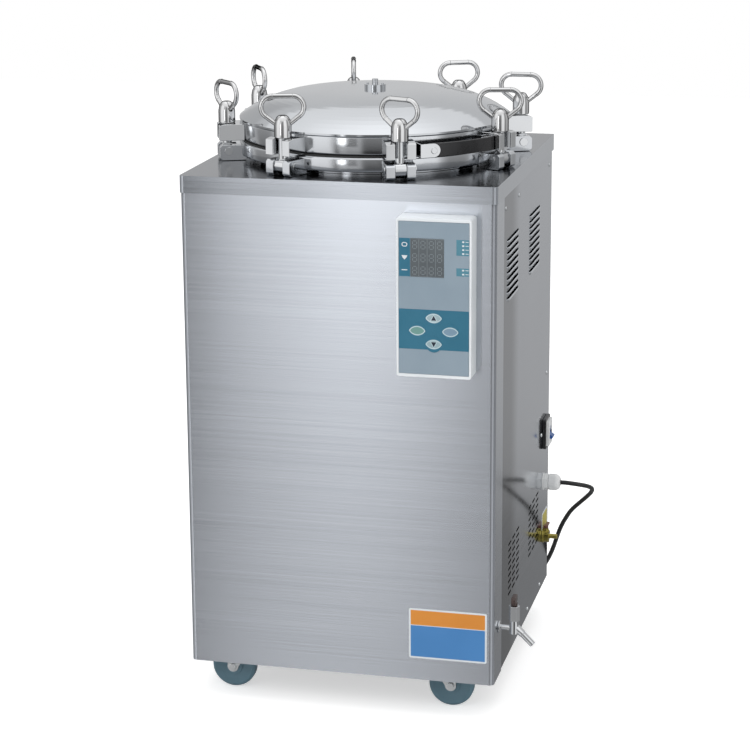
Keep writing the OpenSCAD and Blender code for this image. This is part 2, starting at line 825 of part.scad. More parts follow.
module swing_bolt(k) color(chrome) at_bolt(k) difference() {
    union() {
        translate([0, 0, pin_z]) rotate([0, 90, 0])
            cylinder(d = eye_d, h = slot_w - 2 * seat_gap, center = true, $fn = round_fn);
        translate([0, 0, pin_z]) cylinder(d = bolt_d, h = nut_top - bolt_end - pin_z, $fn = round_fn);
    }
    translate([0, 0, pin_z]) rotate([0, 90, 0])
        cylinder(d = pin_d + 2 * run_gap, h = slot_w + 2 * over, center = true, $fn = round_fn);
}

// Wire loop: a flat top bar, two round corners and two legs that run into the barrel.
// The straight runs end inside the bends, which are a little thicker.
module loop_wire() {
    cx = loop_w / 2 - loop_wire_d / 2 - loop_corner_r;
    cz = loop_top - loop_corner_r;
    v = [cx - loop_root_x, cz - loop_root_z];
    reach = norm(v);
    leg = sqrt(reach * reach - loop_corner_r * loop_corner_r);
    dir = atan2(v.y, v.x) - asin(loop_corner_r / reach);
    for (s = [-1, 1]) scale([s, 1, 1]) {
        translate([loop_root_x, 0, loop_root_z]) rotate([0, 90 - dir, 0])
            cylinder(d = loop_wire_d, h = leg + loop_lap, $fn = small_fn);
        translate([cx, 0, cz]) rotate([90, 0, 0]) rotate(dir - 90)
            rotate_extrude(angle = 180 - dir, $fn = round_fn)
                translate([loop_corner_r, 0]) circle(d = loop_wire_d + loop_swell, $fn = small_fn);
    }
    translate([-cx - loop_lap, 0, loop_top]) rotate([0, 90, 0])
        cylinder(d = loop_wire_d, h = 2 * (cx + loop_lap), $fn = small_fn);
}

module loop_nut(k) color(chrome) at_bolt(k) difference() {
    union() {
        rotate_extrude($fn = round_fn) polygon([
            [0, nut_z], [nut_d / 2 - nut_edge, nut_z], [nut_d / 2, nut_z + nut_edge],
            [nut_d / 2, nut_top - nut_shoulder], [nut_d / 2 - nut_waist, nut_top - nut_shoulder / 2],
            [nut_crown_d / 2 + nut_crown_slope, nut_top - nut_crown], [nut_crown_d / 2, nut_top],
            [0, nut_top]]);
        rotate(loop_yaw[k - 1]) loop_wire();
    }
    translate([0, 0, nut_z - over])
        cylinder(d = bolt_d + 2 * run_gap, h = nut_h - nut_bore_end + over, $fn = round_fn);
}

// Control box

module at_face() translate([box_x, face_y, box_z]) rotate([90, 0, 0]) children();

module key_shape(extra) intersection() {
    circle(d = key_w + 2 * extra, $fn = round_fn);
    for (s = [-1, 1]) translate([0, s * key_w * key_flat_share])
        circle(d = key_w * key_arc_share + 2 * extra, $fn = round_fn);
}

module control_box() color(white) difference() {
    at_face() translate([0, 0, -box_d + seat_gap])
        linear_extrude(box_d - seat_gap) round_rect(box_w, box_h, corner_r / 2);
    at_face() translate([0, 0, -box_d])
        linear_extrude(box_d - box_front)
            round_rect(box_w - 2 * box_wall, box_h - 2 * box_wall, corner_r / 4);
    at_face() translate([0, 0, -panel_inset]) linear_extrude(panel_inset + over)
        round_rect(box_w - 2 * box_rim, box_h - 2 * box_end_rim, box_recess_r);
    for (p = key_places) at_face() translate([p.x, key_z - box_z + p.y, -panel_inset - key_t])
        linear_extrude(key_t + over) key_shape(key_gap);
}

module membrane_panel() color(greyblue) difference() {
    at_face() translate([0, 0, -panel_inset]) linear_extrude(membrane_t)
        round_rect(box_w - 2 * box_rim - 2 * seat_gap, box_h - 2 * box_end_rim - 2 * seat_gap, box_recess_r);
    for (p = key_places) at_face() translate([p.x, key_z - box_z + p.y, -panel_inset - over])
        linear_extrude(membrane_t + 2 * over) key_shape(key_gap);
    at_face() translate([window_x - box_x, window_z - box_z, -panel_inset - over])
        linear_extrude(membrane_t + 2 * over)
            square([window_w + 2 * seat_gap, window_h + 2 * seat_gap], center = true);
}

module display_window() color(black) at_face() translate([window_x - box_x, window_z - box_z, -panel_inset])
    linear_extrude(window_t) square([window_w, window_h], center = true);

module key(i) color(teal) at_face()
    translate([key_places[i].x, key_z - box_z + key_places[i].y, -rim_h + key_proud - key_t])
        linear_extrude(key_t) key_shape(0);

// Breaker

module breaker_frame() color(black) difference() {
    translate([side_x + seat_gap, breaker_y, breaker_z]) rotate([90, 0, 90])
        linear_extrude(breaker_t) round_rect(breaker_w, breaker_h, corner_r / 2);
    translate([side_x - over, breaker_y - breaker_body_w / 2 - seat_gap,
               breaker_z - breaker_body_h / 2 - seat_gap])
        cube([breaker_t + 3 * over, breaker_body_w + 2 * seat_gap, breaker_body_h + 2 * seat_gap]);
}

module at_toggle() translate([side_x + breaker_axle_in, breaker_y, breaker_z]) children();

module breaker_body() color(white) difference() {
    translate([side_x - breaker_body_in, breaker_y - breaker_body_w / 2, breaker_z - breaker_body_h / 2])
        cube([breaker_body_in + seat_gap + breaker_t + breaker_body_out, breaker_body_w, breaker_body_h]);
    at_toggle() translate([-toggle_hub_d / 2 - over, -toggle_w / 2 - seat_gap, -breaker_slot_h / 2])
        cube([2 * breaker_body_in, toggle_w + 2 * seat_gap, breaker_slot_h]);
    at_toggle() rotate([90, 0, 0])
        cylinder(d = breaker_axle_d + 2 * run_gap, h = breaker_axle_bore, center = true, $fn = round_fn);
}

module breaker_toggle() color(switch_blue) at_toggle() {
    rotate([90, 0, 0]) cylinder(d = toggle_hub_d, h = toggle_w, center = true, $fn = round_fn);
    rotate([90, 0, 0]) cylinder(d = breaker_axle_d, h = breaker_axle_l, center = true, $fn = round_fn);
    rotate([0, toggle_rest, 0]) translate([0, -toggle_w / 2, -toggle_t / 2])
        cube([toggle_out, toggle_w, toggle_t]);
}

// Gland and lead

module cable_gland() color(white) from_right(gland_y, gland_z) difference() {
    union() {
        translate([0, 0, -gland_tail]) cylinder(d = gland_thread_d, h = gland_tail + over, $fn = small_fn);
        cylinder(d = gland_washer_d, h = gland_washer_t, $fn = small_fn);
        translate([0, 0, gland_washer_t]) cylinder(d = gland_hex_d, h = gland_hex_t, $fn = 6);
        translate([0, 0, gland_washer_t + gland_hex_t])
            cylinder(d = gland_neck_d, h = gland_neck_t, $fn = small_fn);
        translate([0, 0, gland_washer_t + gland_hex_t + gland_neck_t])
            cylinder(d = gland_d, h = gland_dome_t, $fn = small_fn);
        translate([0, 0, gland_washer_t + gland_hex_t + gland_neck_t + gland_dome_t])
            cylinder(d1 = gland_shoulder_d, d2 = gland_nose_d, h = gland_nose_t - seat_gap, $fn = small_fn);
    }
    translate([0, 0, -gland_tail - over]) cylinder(d = cord_d, h = gland_tail, $fn = small_fn);
}

function unit(v) = v / norm(v);
function tangents(p) = [for (i = [0:len(p) - 1])
    unit(i == 0 ? p[1] - p[0] : i == len(p) - 1 ? p[i] - p[i - 1] : p[i + 1] - p[i - 1])];
function carried(t, n, i) = i == len(t) ? [] :
    let (m = unit(n - (n * t[i]) * t[i])) concat([m], carried(t, m, i + 1));
function ring_points(p, t, n, d, sides) = [for (i = [0:len(p) - 1], j = [0:sides - 1])
    let (a = 360 * (j + 0.5) / sides, b = cross(t[i], n[i]))
    p[i] + d / 2 * (cos(a) * n[i] + sin(a) * b)];

module tube(p, d, sides) {
    t = tangents(p);
    n = carried(t, [0, 0, 1], 0);
    rings = len(p);
    last = (rings - 1) * sides;
    polyhedron(ring_points(p, t, n, d, sides), concat(
        [for (i = [0:rings - 2], j = [0:sides - 1]) let (a = i * sides + j, b = i * sides + (j + 1) % sides)
            [a, b, b + sides]],
        [for (i = [0:rings - 2], j = [0:sides - 1]) let (a = i * sides + j, b = i * sides + (j + 1) % sides)
            [a, b + sides, a + sides]],
        [for (j = [1:sides - 2]) [0, j + 1, j]],
        [for (j = [1:sides - 2]) [last, last + j, last + j + 1]]));
}

// Along the coil, u counts turns from the start: radius falls, then grows again one layer up
function coil_radius(u) = coil_r - coil_pitch * (coil_turns / 2 - abs(u - coil_turns / 2));
function coil_height(u) = cord_d / 2 + coil_pitch * min(1, max(0, 2 * (u - coil_turns / 2) + 0.5));
coil_path = concat(
    [[coil_x + coil_entry, coil_y - coil_r, cord_d / 2]],
    [for (i = [0:coil_rings * coil_turns]) let (u = i / coil_rings, a = -90 - 360 * u)
        [coil_x + coil_radius(u) * cos(a), coil_y + coil_radius(u) * sin(a), coil_height(u)]],
    [[coil_x - coil_entry, coil_y - coil_r, coil_height(coil_turns)],
     [coil_x - coil_lead, coil_y - coil_r, coil_height(coil_turns)]]);
self_gaps = [for (i = [0:len(coil_path) - 1], j = [i + coil_skip:1:len(coil_path) - 1])
    norm(coil_path[i] - coil_path[j]) - cord_d];
echo(coil_self_gap = min(self_gaps));

module at_lead() translate([side_x, panel_y, 0]) children();

module power_cord() color(black) at_lead() tube(concat(cord_route, coil_path), cord_d, cord_sides);

module power_plug() color(black) at_lead()
    translate([coil_x - coil_lead, coil_y - coil_r, coil_height(coil_turns)]) rotate([0, -90, 0]) {
        cylinder(d1 = plug_entry_d, d2 = plug_relief_d, h = plug_relief_len, $fn = small_fn);
        translate([0, 0, plug_relief_len]) linear_extrude(plug_len)
            round_rect(plug_h, plug_w, plug_h / 4);
        for (s = [-1, 1]) translate([0, s * plug_pin_dx, plug_relief_len + plug_len + plug_pin_l / 2])
            rotate(s * plug_pin_turn) cube([plug_pin_w, plug_pin_t, plug_pin_l + over], center = true);
    }

// Valves

module exhaust_valve() color(brass) from_right(exhaust_y, exhaust_z) difference() {
    union() {
        translate([0, 0, -sheet - 2 * seat_gap])
            cylinder(d = exhaust_pipe_d, h = sheet + 3 * seat_gap, $fn = small_fn);
        cylinder(d = exhaust_hex_d, h = exhaust_foot_t, $fn = small_fn);
        translate([0, 0, exhaust_foot_t])
            cylinder(d = exhaust_hex_d, h = exhaust_hex_t - exhaust_foot_t, $fn = 6);
        translate([0, 0, exhaust_hex_t]) cylinder(d = spigot_d, h = spigot_len, $fn = round_fn);
        translate([0, 0, exhaust_hex_t / 2]) rotate([0, -90, 0])
            cylinder(d = stem_case_d, h = stem_h, $fn = small_fn);
    }
    translate([0, 0, exhaust_hex_t]) cylinder(d = spigot_bore, h = spigot_len + over, $fn = small_fn);
    translate([0, 0, exhaust_hex_t / 2]) rotate([0, -90, 0])
        translate([0, 0, stem_h - stem_bore_l])
            cylinder(d = stem_pin_d + 2 * run_gap, h = stem_bore_l + over, $fn = round_fn);
}

module exhaust_lever() color(brown)
    translate([side_x + seat_gap + exhaust_hex_t / 2, exhaust_y, exhaust_z + stem_h]) {
        translate([0, 0, -stem_pin_l])
            cylinder(d = stem_pin_d, h = stem_pin_l + seat_gap + lever_t, $fn = round_fn);
        translate([0, 0, seat_gap]) cylinder(d = lever_hub_d, h = lever_hub_t, $fn = small_fn);
        translate([-lever_w / 2, 0, seat_gap]) cube([lever_w, lever_l, lever_t]);
    }

module drain_tap() color(chrome) translate([panel_x + seat_gap, drain_y, drain_z]) difference() {
    union() {
        rotate([0, 90, 0]) cylinder(d = drain_flange_d, h = drain_flange_t, $fn = small_fn);
        translate([-tap_tail - seat_gap, 0, 0]) rotate([0, 90, 0])
            cylinder(d = nipple_d, h = drain_x + tap_tail, $fn = small_fn);
        translate([drain_x, 0, -drain_body_down])
            cylinder(d = drain_body_d, h = drain_body_down + drain_body_up, $fn = small_fn);
        translate([drain_x, 0, drain_body_up]) cylinder(d = bonnet_d, h = bonnet_h, $fn = 6);
        translate([drain_x, 0, spout_rise]) rotate([0, spout_tilt, 0]) {
            cylinder(d = spout_d, h = spout_len, $fn = round_fn);
            cylinder(d = spout_collar_d, h = spout_collar_l, $fn = small_fn);
        }
    }
    translate([drain_x, 0, spout_rise]) rotate([0, spout_tilt, 0]) translate([0, 0, drain_body_d])
        cylinder(d = spout_bore, h = spout_len, $fn = small_fn);
    translate([drain_x, 0, drain_body_up + bonnet_h - handle_bore_l])
        cylinder(d = handle_stem_d + 2 * run_gap, h = handle_bore_l + over, $fn = round_fn);
}

module drain_handle() color(brown)
    translate([panel_x + seat_gap + drain_x, drain_y, drain_z + drain_body_up + bonnet_h]) {
        translate([0, 0, -handle_stem_l])
            cylinder(d = handle_stem_d, h = handle_stem_l + handle_stem_h, $fn = round_fn);
        translate([0, 0, seat_gap]) cylinder(d = wing_hub_d, h = handle_stem_h, $fn = small_fn);
        translate([-wing_t / 2, 0, handle_stem_h + wing_h / 2]) rotate([0, 90, 0]) linear_extrude(wing_t)
            round_rect(wing_h, wing_w, wing_t / 2);
    }

// Casters: forks trail outwards, as the object was left standing

module at_caster(k) {
    right = k % 2;
    front = k < 3;
    translate([swivel_x[1 - right], (front ? -1 : 1) * swivel_y, 0])
        scale([right == 1 ? 1 : -1, 1, 1]) children();
}

module fork_leg() rotate([90, 0, 0]) linear_extrude(leg_t) {
    polygon([[-leg_top_w / 2, crown_z - crown_h], [leg_top_w / 2 + trail / 3, crown_z - crown_h],
             [trail + axle_boss_d / 2, wheel_d / 2 + leg_foot], [trail, wheel_d / 2 - axle_boss_d / 3],
             [trail - axle_boss_d / 2, wheel_d / 2]]);
    translate([trail, wheel_d / 2]) circle(d = axle_boss_d, $fn = small_fn);
}

module caster_fork(k) color(zinc) at_caster(k) {
    leg_y = wheel_w / 2 + leg_gap;
    translate([0, 0, crown_z - crown_h]) cylinder(d = crown_d, h = crown_h, $fn = small_fn);
    translate([-leg_top_w / 2, -leg_y - leg_t, crown_z - crown_h])
        cube([leg_top_w + trail / 3, 2 * (leg_y + leg_t), leg_t]);
    translate([0, 0, crown_z - over])
        cylinder(d = kingpin_d, h = pan_z - crown_z - seat_gap + over, $fn = round_fn);
    for (y = [-leg_y, leg_y + leg_t]) translate([0, y, 0]) fork_leg();
    translate([trail, leg_y + leg_t + axle_head_t, wheel_d / 2]) rotate([90, 0, 0]) {
        cylinder(d = axle_head_d, h = axle_head_t, $fn = 6);
        cylinder(d = axle_d, h = 2 * (leg_y + leg_t + axle_head_t), $fn = round_fn);
        translate([0, 0, 2 * (leg_y + leg_t) + axle_head_t])
            cylinder(d = axle_head_d, h = axle_head_t, $fn = 6);
    }
}

// Half of the wheel's section, from the axle to the middle of the tread, as radius and half width
wheel_side = [
    [axle_d / 2 + run_gap, wheel_w / 2 + hub_gap], [hub_d / 2, wheel_w / 2 + hub_gap],
    [hub_d / 2, wheel_w / 2 - hub_inset], [wheel_d / 2 - 2 * tyre_round, wheel_w / 2 - web_inset],
    [wheel_d / 2 - tyre_round, wheel_w / 2], [wheel_d / 2 - tread_drop, wheel_w / 2 - tread_edge],
    [wheel_d / 2, wheel_w / 2 - tread_inset]
];

module caster_wheel(k) color(rubber_blue) at_caster(k) translate([trail, 0, wheel_d / 2]) rotate([90, 0, 0])
    rotate_extrude($fn = round_fn) polygon(concat(
        [for (p = wheel_side) [p.x, -p.y]],
        [for (i = [len(wheel_side) - 1:-1:0]) wheel_side[i]]));

placed() base_pan();
placed() support_frame();
placed() front_panel();
placed() left_side_panel();
placed() right_side_panel();
placed() rear_panel();
placed() top_cover();
placed() chamber_shell();
placed() chamber_flange();
placed() clevis_pins();
placed() heating_element();
placed() chamber_grid();
placed() internal_pipes();
placed() lid_dome();
placed() lid_ring();
placed() lid_forks();
placed() lid_gasket();
placed() handle_tabs();
placed() handle_grips();
for (k = [1:bolt_count]) placed() swing_bolt(k);
for (k = [1:bolt_count]) placed() loop_nut(k);
placed() control_box();
placed() membrane_panel();
placed() display_window();
placed() key(0);  // key_up
placed() key(1);  // key_down
placed() key(2);  // key_left
placed() key(3);  // key_right
placed() breaker_frame();
placed() breaker_body();
placed() breaker_toggle();
placed() cable_gland();
placed() power_cord();
placed() power_plug();
placed() exhaust_valve();
placed() exhaust_lever();
placed() drain_tap();
placed() drain_handle();
for (k = [1:4]) placed() caster_fork(k);
for (k = [1:4]) placed() caster_wheel(k);
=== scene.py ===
# Vertical autoclave: stainless cabinet on casters, domed lid with swing bolts and loop nuts.
# Metres, +Z up, front towards -Y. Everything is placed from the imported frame.
import json
import math

import bmesh
import bpy
from mathutils import Matrix, Vector


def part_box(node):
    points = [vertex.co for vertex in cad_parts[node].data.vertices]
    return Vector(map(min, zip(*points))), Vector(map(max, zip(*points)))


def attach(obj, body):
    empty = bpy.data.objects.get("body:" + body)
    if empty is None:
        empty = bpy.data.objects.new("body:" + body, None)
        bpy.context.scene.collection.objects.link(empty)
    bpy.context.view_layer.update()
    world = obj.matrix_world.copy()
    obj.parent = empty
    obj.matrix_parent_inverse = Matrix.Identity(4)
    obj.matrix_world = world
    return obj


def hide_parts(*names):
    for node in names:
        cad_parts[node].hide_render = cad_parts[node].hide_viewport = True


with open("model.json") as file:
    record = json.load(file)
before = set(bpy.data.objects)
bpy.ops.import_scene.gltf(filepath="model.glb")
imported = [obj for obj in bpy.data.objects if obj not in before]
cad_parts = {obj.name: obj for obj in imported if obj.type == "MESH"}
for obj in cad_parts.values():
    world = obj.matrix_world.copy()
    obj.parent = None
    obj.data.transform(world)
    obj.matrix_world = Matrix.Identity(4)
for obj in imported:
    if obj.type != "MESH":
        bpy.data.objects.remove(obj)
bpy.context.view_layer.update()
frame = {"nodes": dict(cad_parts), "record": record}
nodes = frame["nodes"]
print("frame loaded", len(nodes), "nodes")

mm = 0.001
# middle of the cabinet on the floor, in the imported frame
cabinetX = -30.007 * mm
cabinetY = 20 * mm


def place(x, y, z):
    # a point measured in millimetres from the middle of the cabinet on the floor
    return Vector((cabinetX + x * mm, cabinetY + y * mm, z * mm))


def addObject(name, data):
    obj = bpy.data.objects.new(name, data)
    bpy.context.collection.objects.link(obj)
    return obj


# camera, fitted to the cabinet's corners

camera = {
    "position": (902.2, -3697.9, 1527.9),
    "azimuth": 13.7523,
    "elevation": 13.6843,
    "roll": -0.3578,
    "focalPixels": 2281.0,
    "centrePixels": (375, 320),
    "framePixels": 750,
    "sensor": 36,
    "clipEnd": 60,
}


def makeCamera(c):
    a = math.radians(c["azimuth"])
    e = math.radians(c["elevation"])
    r = math.radians(c["roll"])
    back = Vector((math.sin(a) * math.cos(e), -math.cos(a) * math.cos(e), math.sin(e)))
    level = Vector((math.cos(a), math.sin(a), 0))
    right = level * math.cos(r) + back.cross(level) * math.sin(r)
    up = back.cross(right)
    data = bpy.data.cameras.new("photoCamera")
    data.sensor_width = c["sensor"]
    data.lens = c["focalPixels"] / c["framePixels"] * c["sensor"]
    half = c["framePixels"] / 2
    data.shift_x = (half - c["centrePixels"][0]) / c["framePixels"]
    data.shift_y = (c["centrePixels"][1] - half) / c["framePixels"]
    data.clip_end = c["clipEnd"]
    obj = addObject("photoCamera", data)
    turn = Matrix((right, up, back)).transposed().to_4x4()
    obj.matrix_world = Matrix.Translation(place(*c["position"])) @ turn
    bpy.context.scene.camera = obj


makeCamera(camera)

# small helpers for shader nodes


def feed(tree, node, inputs):
    # each input gets a number, a colour or another node's output
    for key, value in inputs.items():
        if isinstance(value, bpy.types.NodeSocket):
            tree.links.new(value, node.inputs[key])
        else:
            node.inputs[key].default_value = value


def addNode(tree, kind, inputs):
    node = tree.nodes.new("ShaderNode" + kind)
    feed(tree, node, inputs)
    return node


def operate(tree, kind, operation, inputs):
    # the inputs of such a node depend on its operation, so that is set first
    node = addNode(tree, kind, {})
    node.operation = operation
    feed(tree, node, inputs)
    return node.outputs[0]


def mathNode(tree, operation, *sides):
    return operate(tree, "Math", operation, dict(enumerate(sides)))


def vectorNode(tree, operation, inputs):
    return operate(tree, "VectorMath", operation, inputs)


def rangeNode(tree, value, source, target=(0, 1), smooth=False):
    # turns values of the source range into the target range and holds them there
    node = addNode(tree, "MapRange", {"Value": value, "From Min": source[0], "From Max": source[1],
                                      "To Min": target[0], "To Max": target[1]})
    if smooth:
        node.interpolation_type = "SMOOTHSTEP"
    return node.outputs["Result"]


def groupShell(name, inputs, outputs):
    group = bpy.data.node_groups.new(name, "ShaderNodeTree")
    for label in inputs:
        group.interface.new_socket(label, in_out="INPUT", socket_type="NodeSocketFloat")
    for label in outputs:
        group.interface.new_socket(label, in_out="OUTPUT", socket_type="NodeSocketFloat")
    start = group.nodes.new("NodeGroupInput").outputs
    end = group.nodes.new("NodeGroupOutput")
    return group, start, end


# shader groups shared by materials

brushInputs = ("X", "Y", "Z", "Patch")


def brushGroup():
    # fine streaks, long where an axis has a low scale, and slow patches
    group, start, end = groupShell("brushedGrain", brushInputs, ("Streak", "Patches"))
    coord = group.nodes.new("ShaderNodeTexCoord").outputs["Object"]
    scale = addNode(group, "CombineXYZ", {axis: start[axis] for axis in "XYZ"})
    stretched = vectorNode(group, "MULTIPLY", {0: coord, 1: scale.outputs[0]})
    streak = addNode(group, "TexNoise", {"Vector": stretched, "Scale": 1, "Detail": 3})
    patches = addNode(group, "TexNoise", {"Vector": coord, "Scale": start["Patch"], "Detail": 2})
    feed(group, end, {"Streak": streak.outputs["Fac"], "Patches": patches.outputs["Fac"]})
    return group


def speckGroup():
    # fine grain and slow stains for plastics, castings, polished metal and rubber
    group, start, end = groupShell("grainAndStain", ("Grain", "Stain"), ("Grain", "Stain"))
    coord = group.nodes.new("ShaderNodeTexCoord").outputs["Object"]
    for label, detail in (("Grain", 2), ("Stain", 4)):
        noise = addNode(group, "TexNoise", {"Vector": coord, "Scale": start[label], "Detail": detail})
        feed(group, end, {label: noise.outputs["Fac"]})
    return group


brushedGrain = brushGroup()
grainAndStain = speckGroup()

surface = {
    # most of a noise lies in this range
    "noise": (0.3, 0.7),
    "streakShare": 0.45,
    "patchShare": 0.55,
    "bumpDepth": 0.2,
    # the brush runs level, so a reflection is drawn out upwards and downwards
    "tangent": {"Y": 0.05, "Z": 1},
    "coatRoughness": 0.08,
    # part of a face's direction along an axis from which it counts as fully turned to it
    "fullyTurned": 0.98,
    # product of a normal's level parts on the bends between the faces
    "bend": (0.04, 0.2),
    # layer weight from where painted shade darkens a polished piece towards its outline
    "outline": (0.42, 0.85),
}


def startMaterial(name, group, scales):
    material = bpy.data.materials.new(name)
    material.use_nodes = True
    tree = material.node_tree
    effect = tree.nodes.new("ShaderNodeGroup")
    effect.node_tree = group
    feed(tree, effect, scales)
    return material, tree, tree.nodes["Principled BSDF"], effect.outputs


def spread(tree, noise, target=(0, 1)):
    return rangeNode(tree, noise, surface["noise"], target)


def mixColours(tree, factor, dark, light):
    node = tree.nodes.new("ShaderNodeMix")
    node.data_type = "RGBA"
    # sockets 6 and 7 are the colours of this node, output 2 their mix
    feed(tree, node, {0: factor, 6: (*dark, 1), 7: (*light, 1)})
    return node.outputs[2]


def scaleColour(tree, colour, share):
    return vectorNode(tree, "SCALE", {0: colour, "Scale": share})


def splitGeometry(tree, label):
    where = tree.nodes.new("ShaderNodeNewGeometry")
    return addNode(tree, "SeparateXYZ", {0: where.outputs[label]}).outputs


def bumpFrom(tree, height, strength):
    bump = addNode(tree, "Bump", {"Height": height, "Distance": surface["bumpDepth"] * mm, "Strength": strength})
    return bump.outputs["Normal"]


def paintFaceShade(tree, colour, axis, share, start):
    # painted shade: faces that look along an axis get only a share of the colour, bends from start on
    turned = mathNode(tree, "ABSOLUTE", splitGeometry(tree, "True Normal")[axis])
    return scaleColour(tree, colour, rangeNode(tree, turned, (start, surface["fullyTurned"]), (1, share)))


def paintFrontShade(tree, colour, start, end, share):
    # painted shade for a dark reflection: along the machine's depth the colour rises from a share to the whole
    depth = splitGeometry(tree, "Position")["Y"]
    return scaleColour(tree, colour, rangeNode(tree, depth, (start * mm, end * mm), (share, 1), True))


def paintOutlineShade(tree, colour, share):
    # painted reflection: towards the outline the colour of a polished piece darkens, as if it showed dark
    # surroundings
    facing = tree.nodes.new("ShaderNodeLayerWeight").outputs["Facing"]
    return scaleColour(tree, colour, rangeNode(tree, facing, surface["outline"], (1, share), True))


def dullBends(tree, roughness, dull):
    # rounded corners between the upright faces are duller than the faces
    normal = splitGeometry(tree, "True Normal")
    both = mathNode(tree, "ABSOLUTE", mathNode(tree, "MULTIPLY", normal["X"], normal["Y"]))
    mix = addNode(tree, "Mix", {"Factor": rangeNode(tree, both, surface["bend"]), "A": roughness, "B": dull})
    return mix.outputs["Result"]


def brushedMetal(name, dark, light, rough, scales, bump=0.05, smear=0.85, paintedFaceShade=None, paintedFrontShade=None, dull=None):
    material, tree, shader, effect = startMaterial(name, brushedGrain, dict(zip(brushInputs, scales)))
    streaks = mathNode(tree, "MULTIPLY", spread(tree, effect["Streak"]), surface["streakShare"])
    patches = mathNode(tree, "MULTIPLY", spread(tree, effect["Patches"]), surface["patchShare"])
    colour = mixColours(tree, mathNode(tree, "ADD", streaks, patches), dark, light)
    # painted shade on the faces that look along one axis
    if paintedFaceShade:
        colour = paintFaceShade(tree, colour, *paintedFaceShade)
    # painted shade on the front part of a side panel
    if paintedFrontShade:
        colour = paintFrontShade(tree, colour, *paintedFrontShade)
    roughness = spread(tree, effect["Streak"], rough)
    if dull:
        roughness = dullBends(tree, roughness, dull)
    feed(tree, shader, {
        "Base Color": colour, "Metallic": 1, "Roughness": roughness, "Anisotropic": smear,
        "Tangent": addNode(tree, "CombineXYZ", surface["tangent"]).outputs[0],
        "Normal": bumpFrom(tree, effect["Streak"], bump),
    })
    return material


def grainyMaterial(name, dark, light, rough, metallic, grain, stain, bump, coat=0, outline=1):
    material, tree, shader, effect = startMaterial(name, grainAndStain, {"Grain": grain, "Stain": stain})
    colour = mixColours(tree, spread(tree, effect["Stain"]), dark, light)
    # painted shade darkens the colour towards the outline
    if outline < 1:
        colour = paintOutlineShade(tree, colour, outline)
        feed(tree, shader, {"Specular Tint": (outline, outline, outline, 1)})
    feed(tree, shader, {
        "Base Color": colour, "Metallic": metallic, "Roughness": spread(tree, effect["Stain"], rough),
        "Coat Weight": coat, "Coat Roughness": surface["coatRoughness"],
        "Normal": bumpFrom(tree, effect["Grain"], bump),
    })
    return material


brushed = {
    "panelSteel": dict(
        dark=(0.50, 0.522, 0.56), light=(0.56, 0.587, 0.63), rough=(0.165, 0.2), scales=(2, 2, 900, 1.6),
        bump=0.04, smear=1.0, dull=0.5),
    # painted shade for a dark reflection: its front part is darker, and the colour rises from 110 to 20 mm before
    # the frame's origin
    "sideSteel": dict(
        dark=(0.455, 0.478, 0.515), light=(0.525, 0.55, 0.59), rough=(0.11, 0.17), scales=(2, 2, 700, 2),
        bump=0.03, paintedFrontShade=(-110, -20, 0.42)),
    "farSideSteel": dict(
        dark=(0.485, 0.508, 0.545), light=(0.55, 0.578, 0.62), rough=(0.13, 0.19), scales=(2, 2, 700, 2)),
    # painted shade: its upward faces keep only a share of the colour
    "coverSteel": dict(
        dark=(0.465, 0.488, 0.522), light=(0.53, 0.557, 0.597), rough=(0.1, 0.15), scales=(2, 900, 900, 3),
        bump=0.03, paintedFaceShade=("Z", 0.42, 0.7), dull=0.5),
    # lighter than the sheet steel: a painted highlight on the hoods
    "hoodSteelPaintedHighlight": dict(
        dark=(0.72, 0.75, 0.79), light=(0.80, 0.83, 0.87), rough=(0.2, 0.26), scales=(2, 2, 700, 2), bump=0.03),
    "turnedSteel": dict(
        dark=(0.56, 0.57, 0.58), light=(0.70, 0.71, 0.72), rough=(0.1, 0.2), scales=(60, 60, 900, 20)),
}
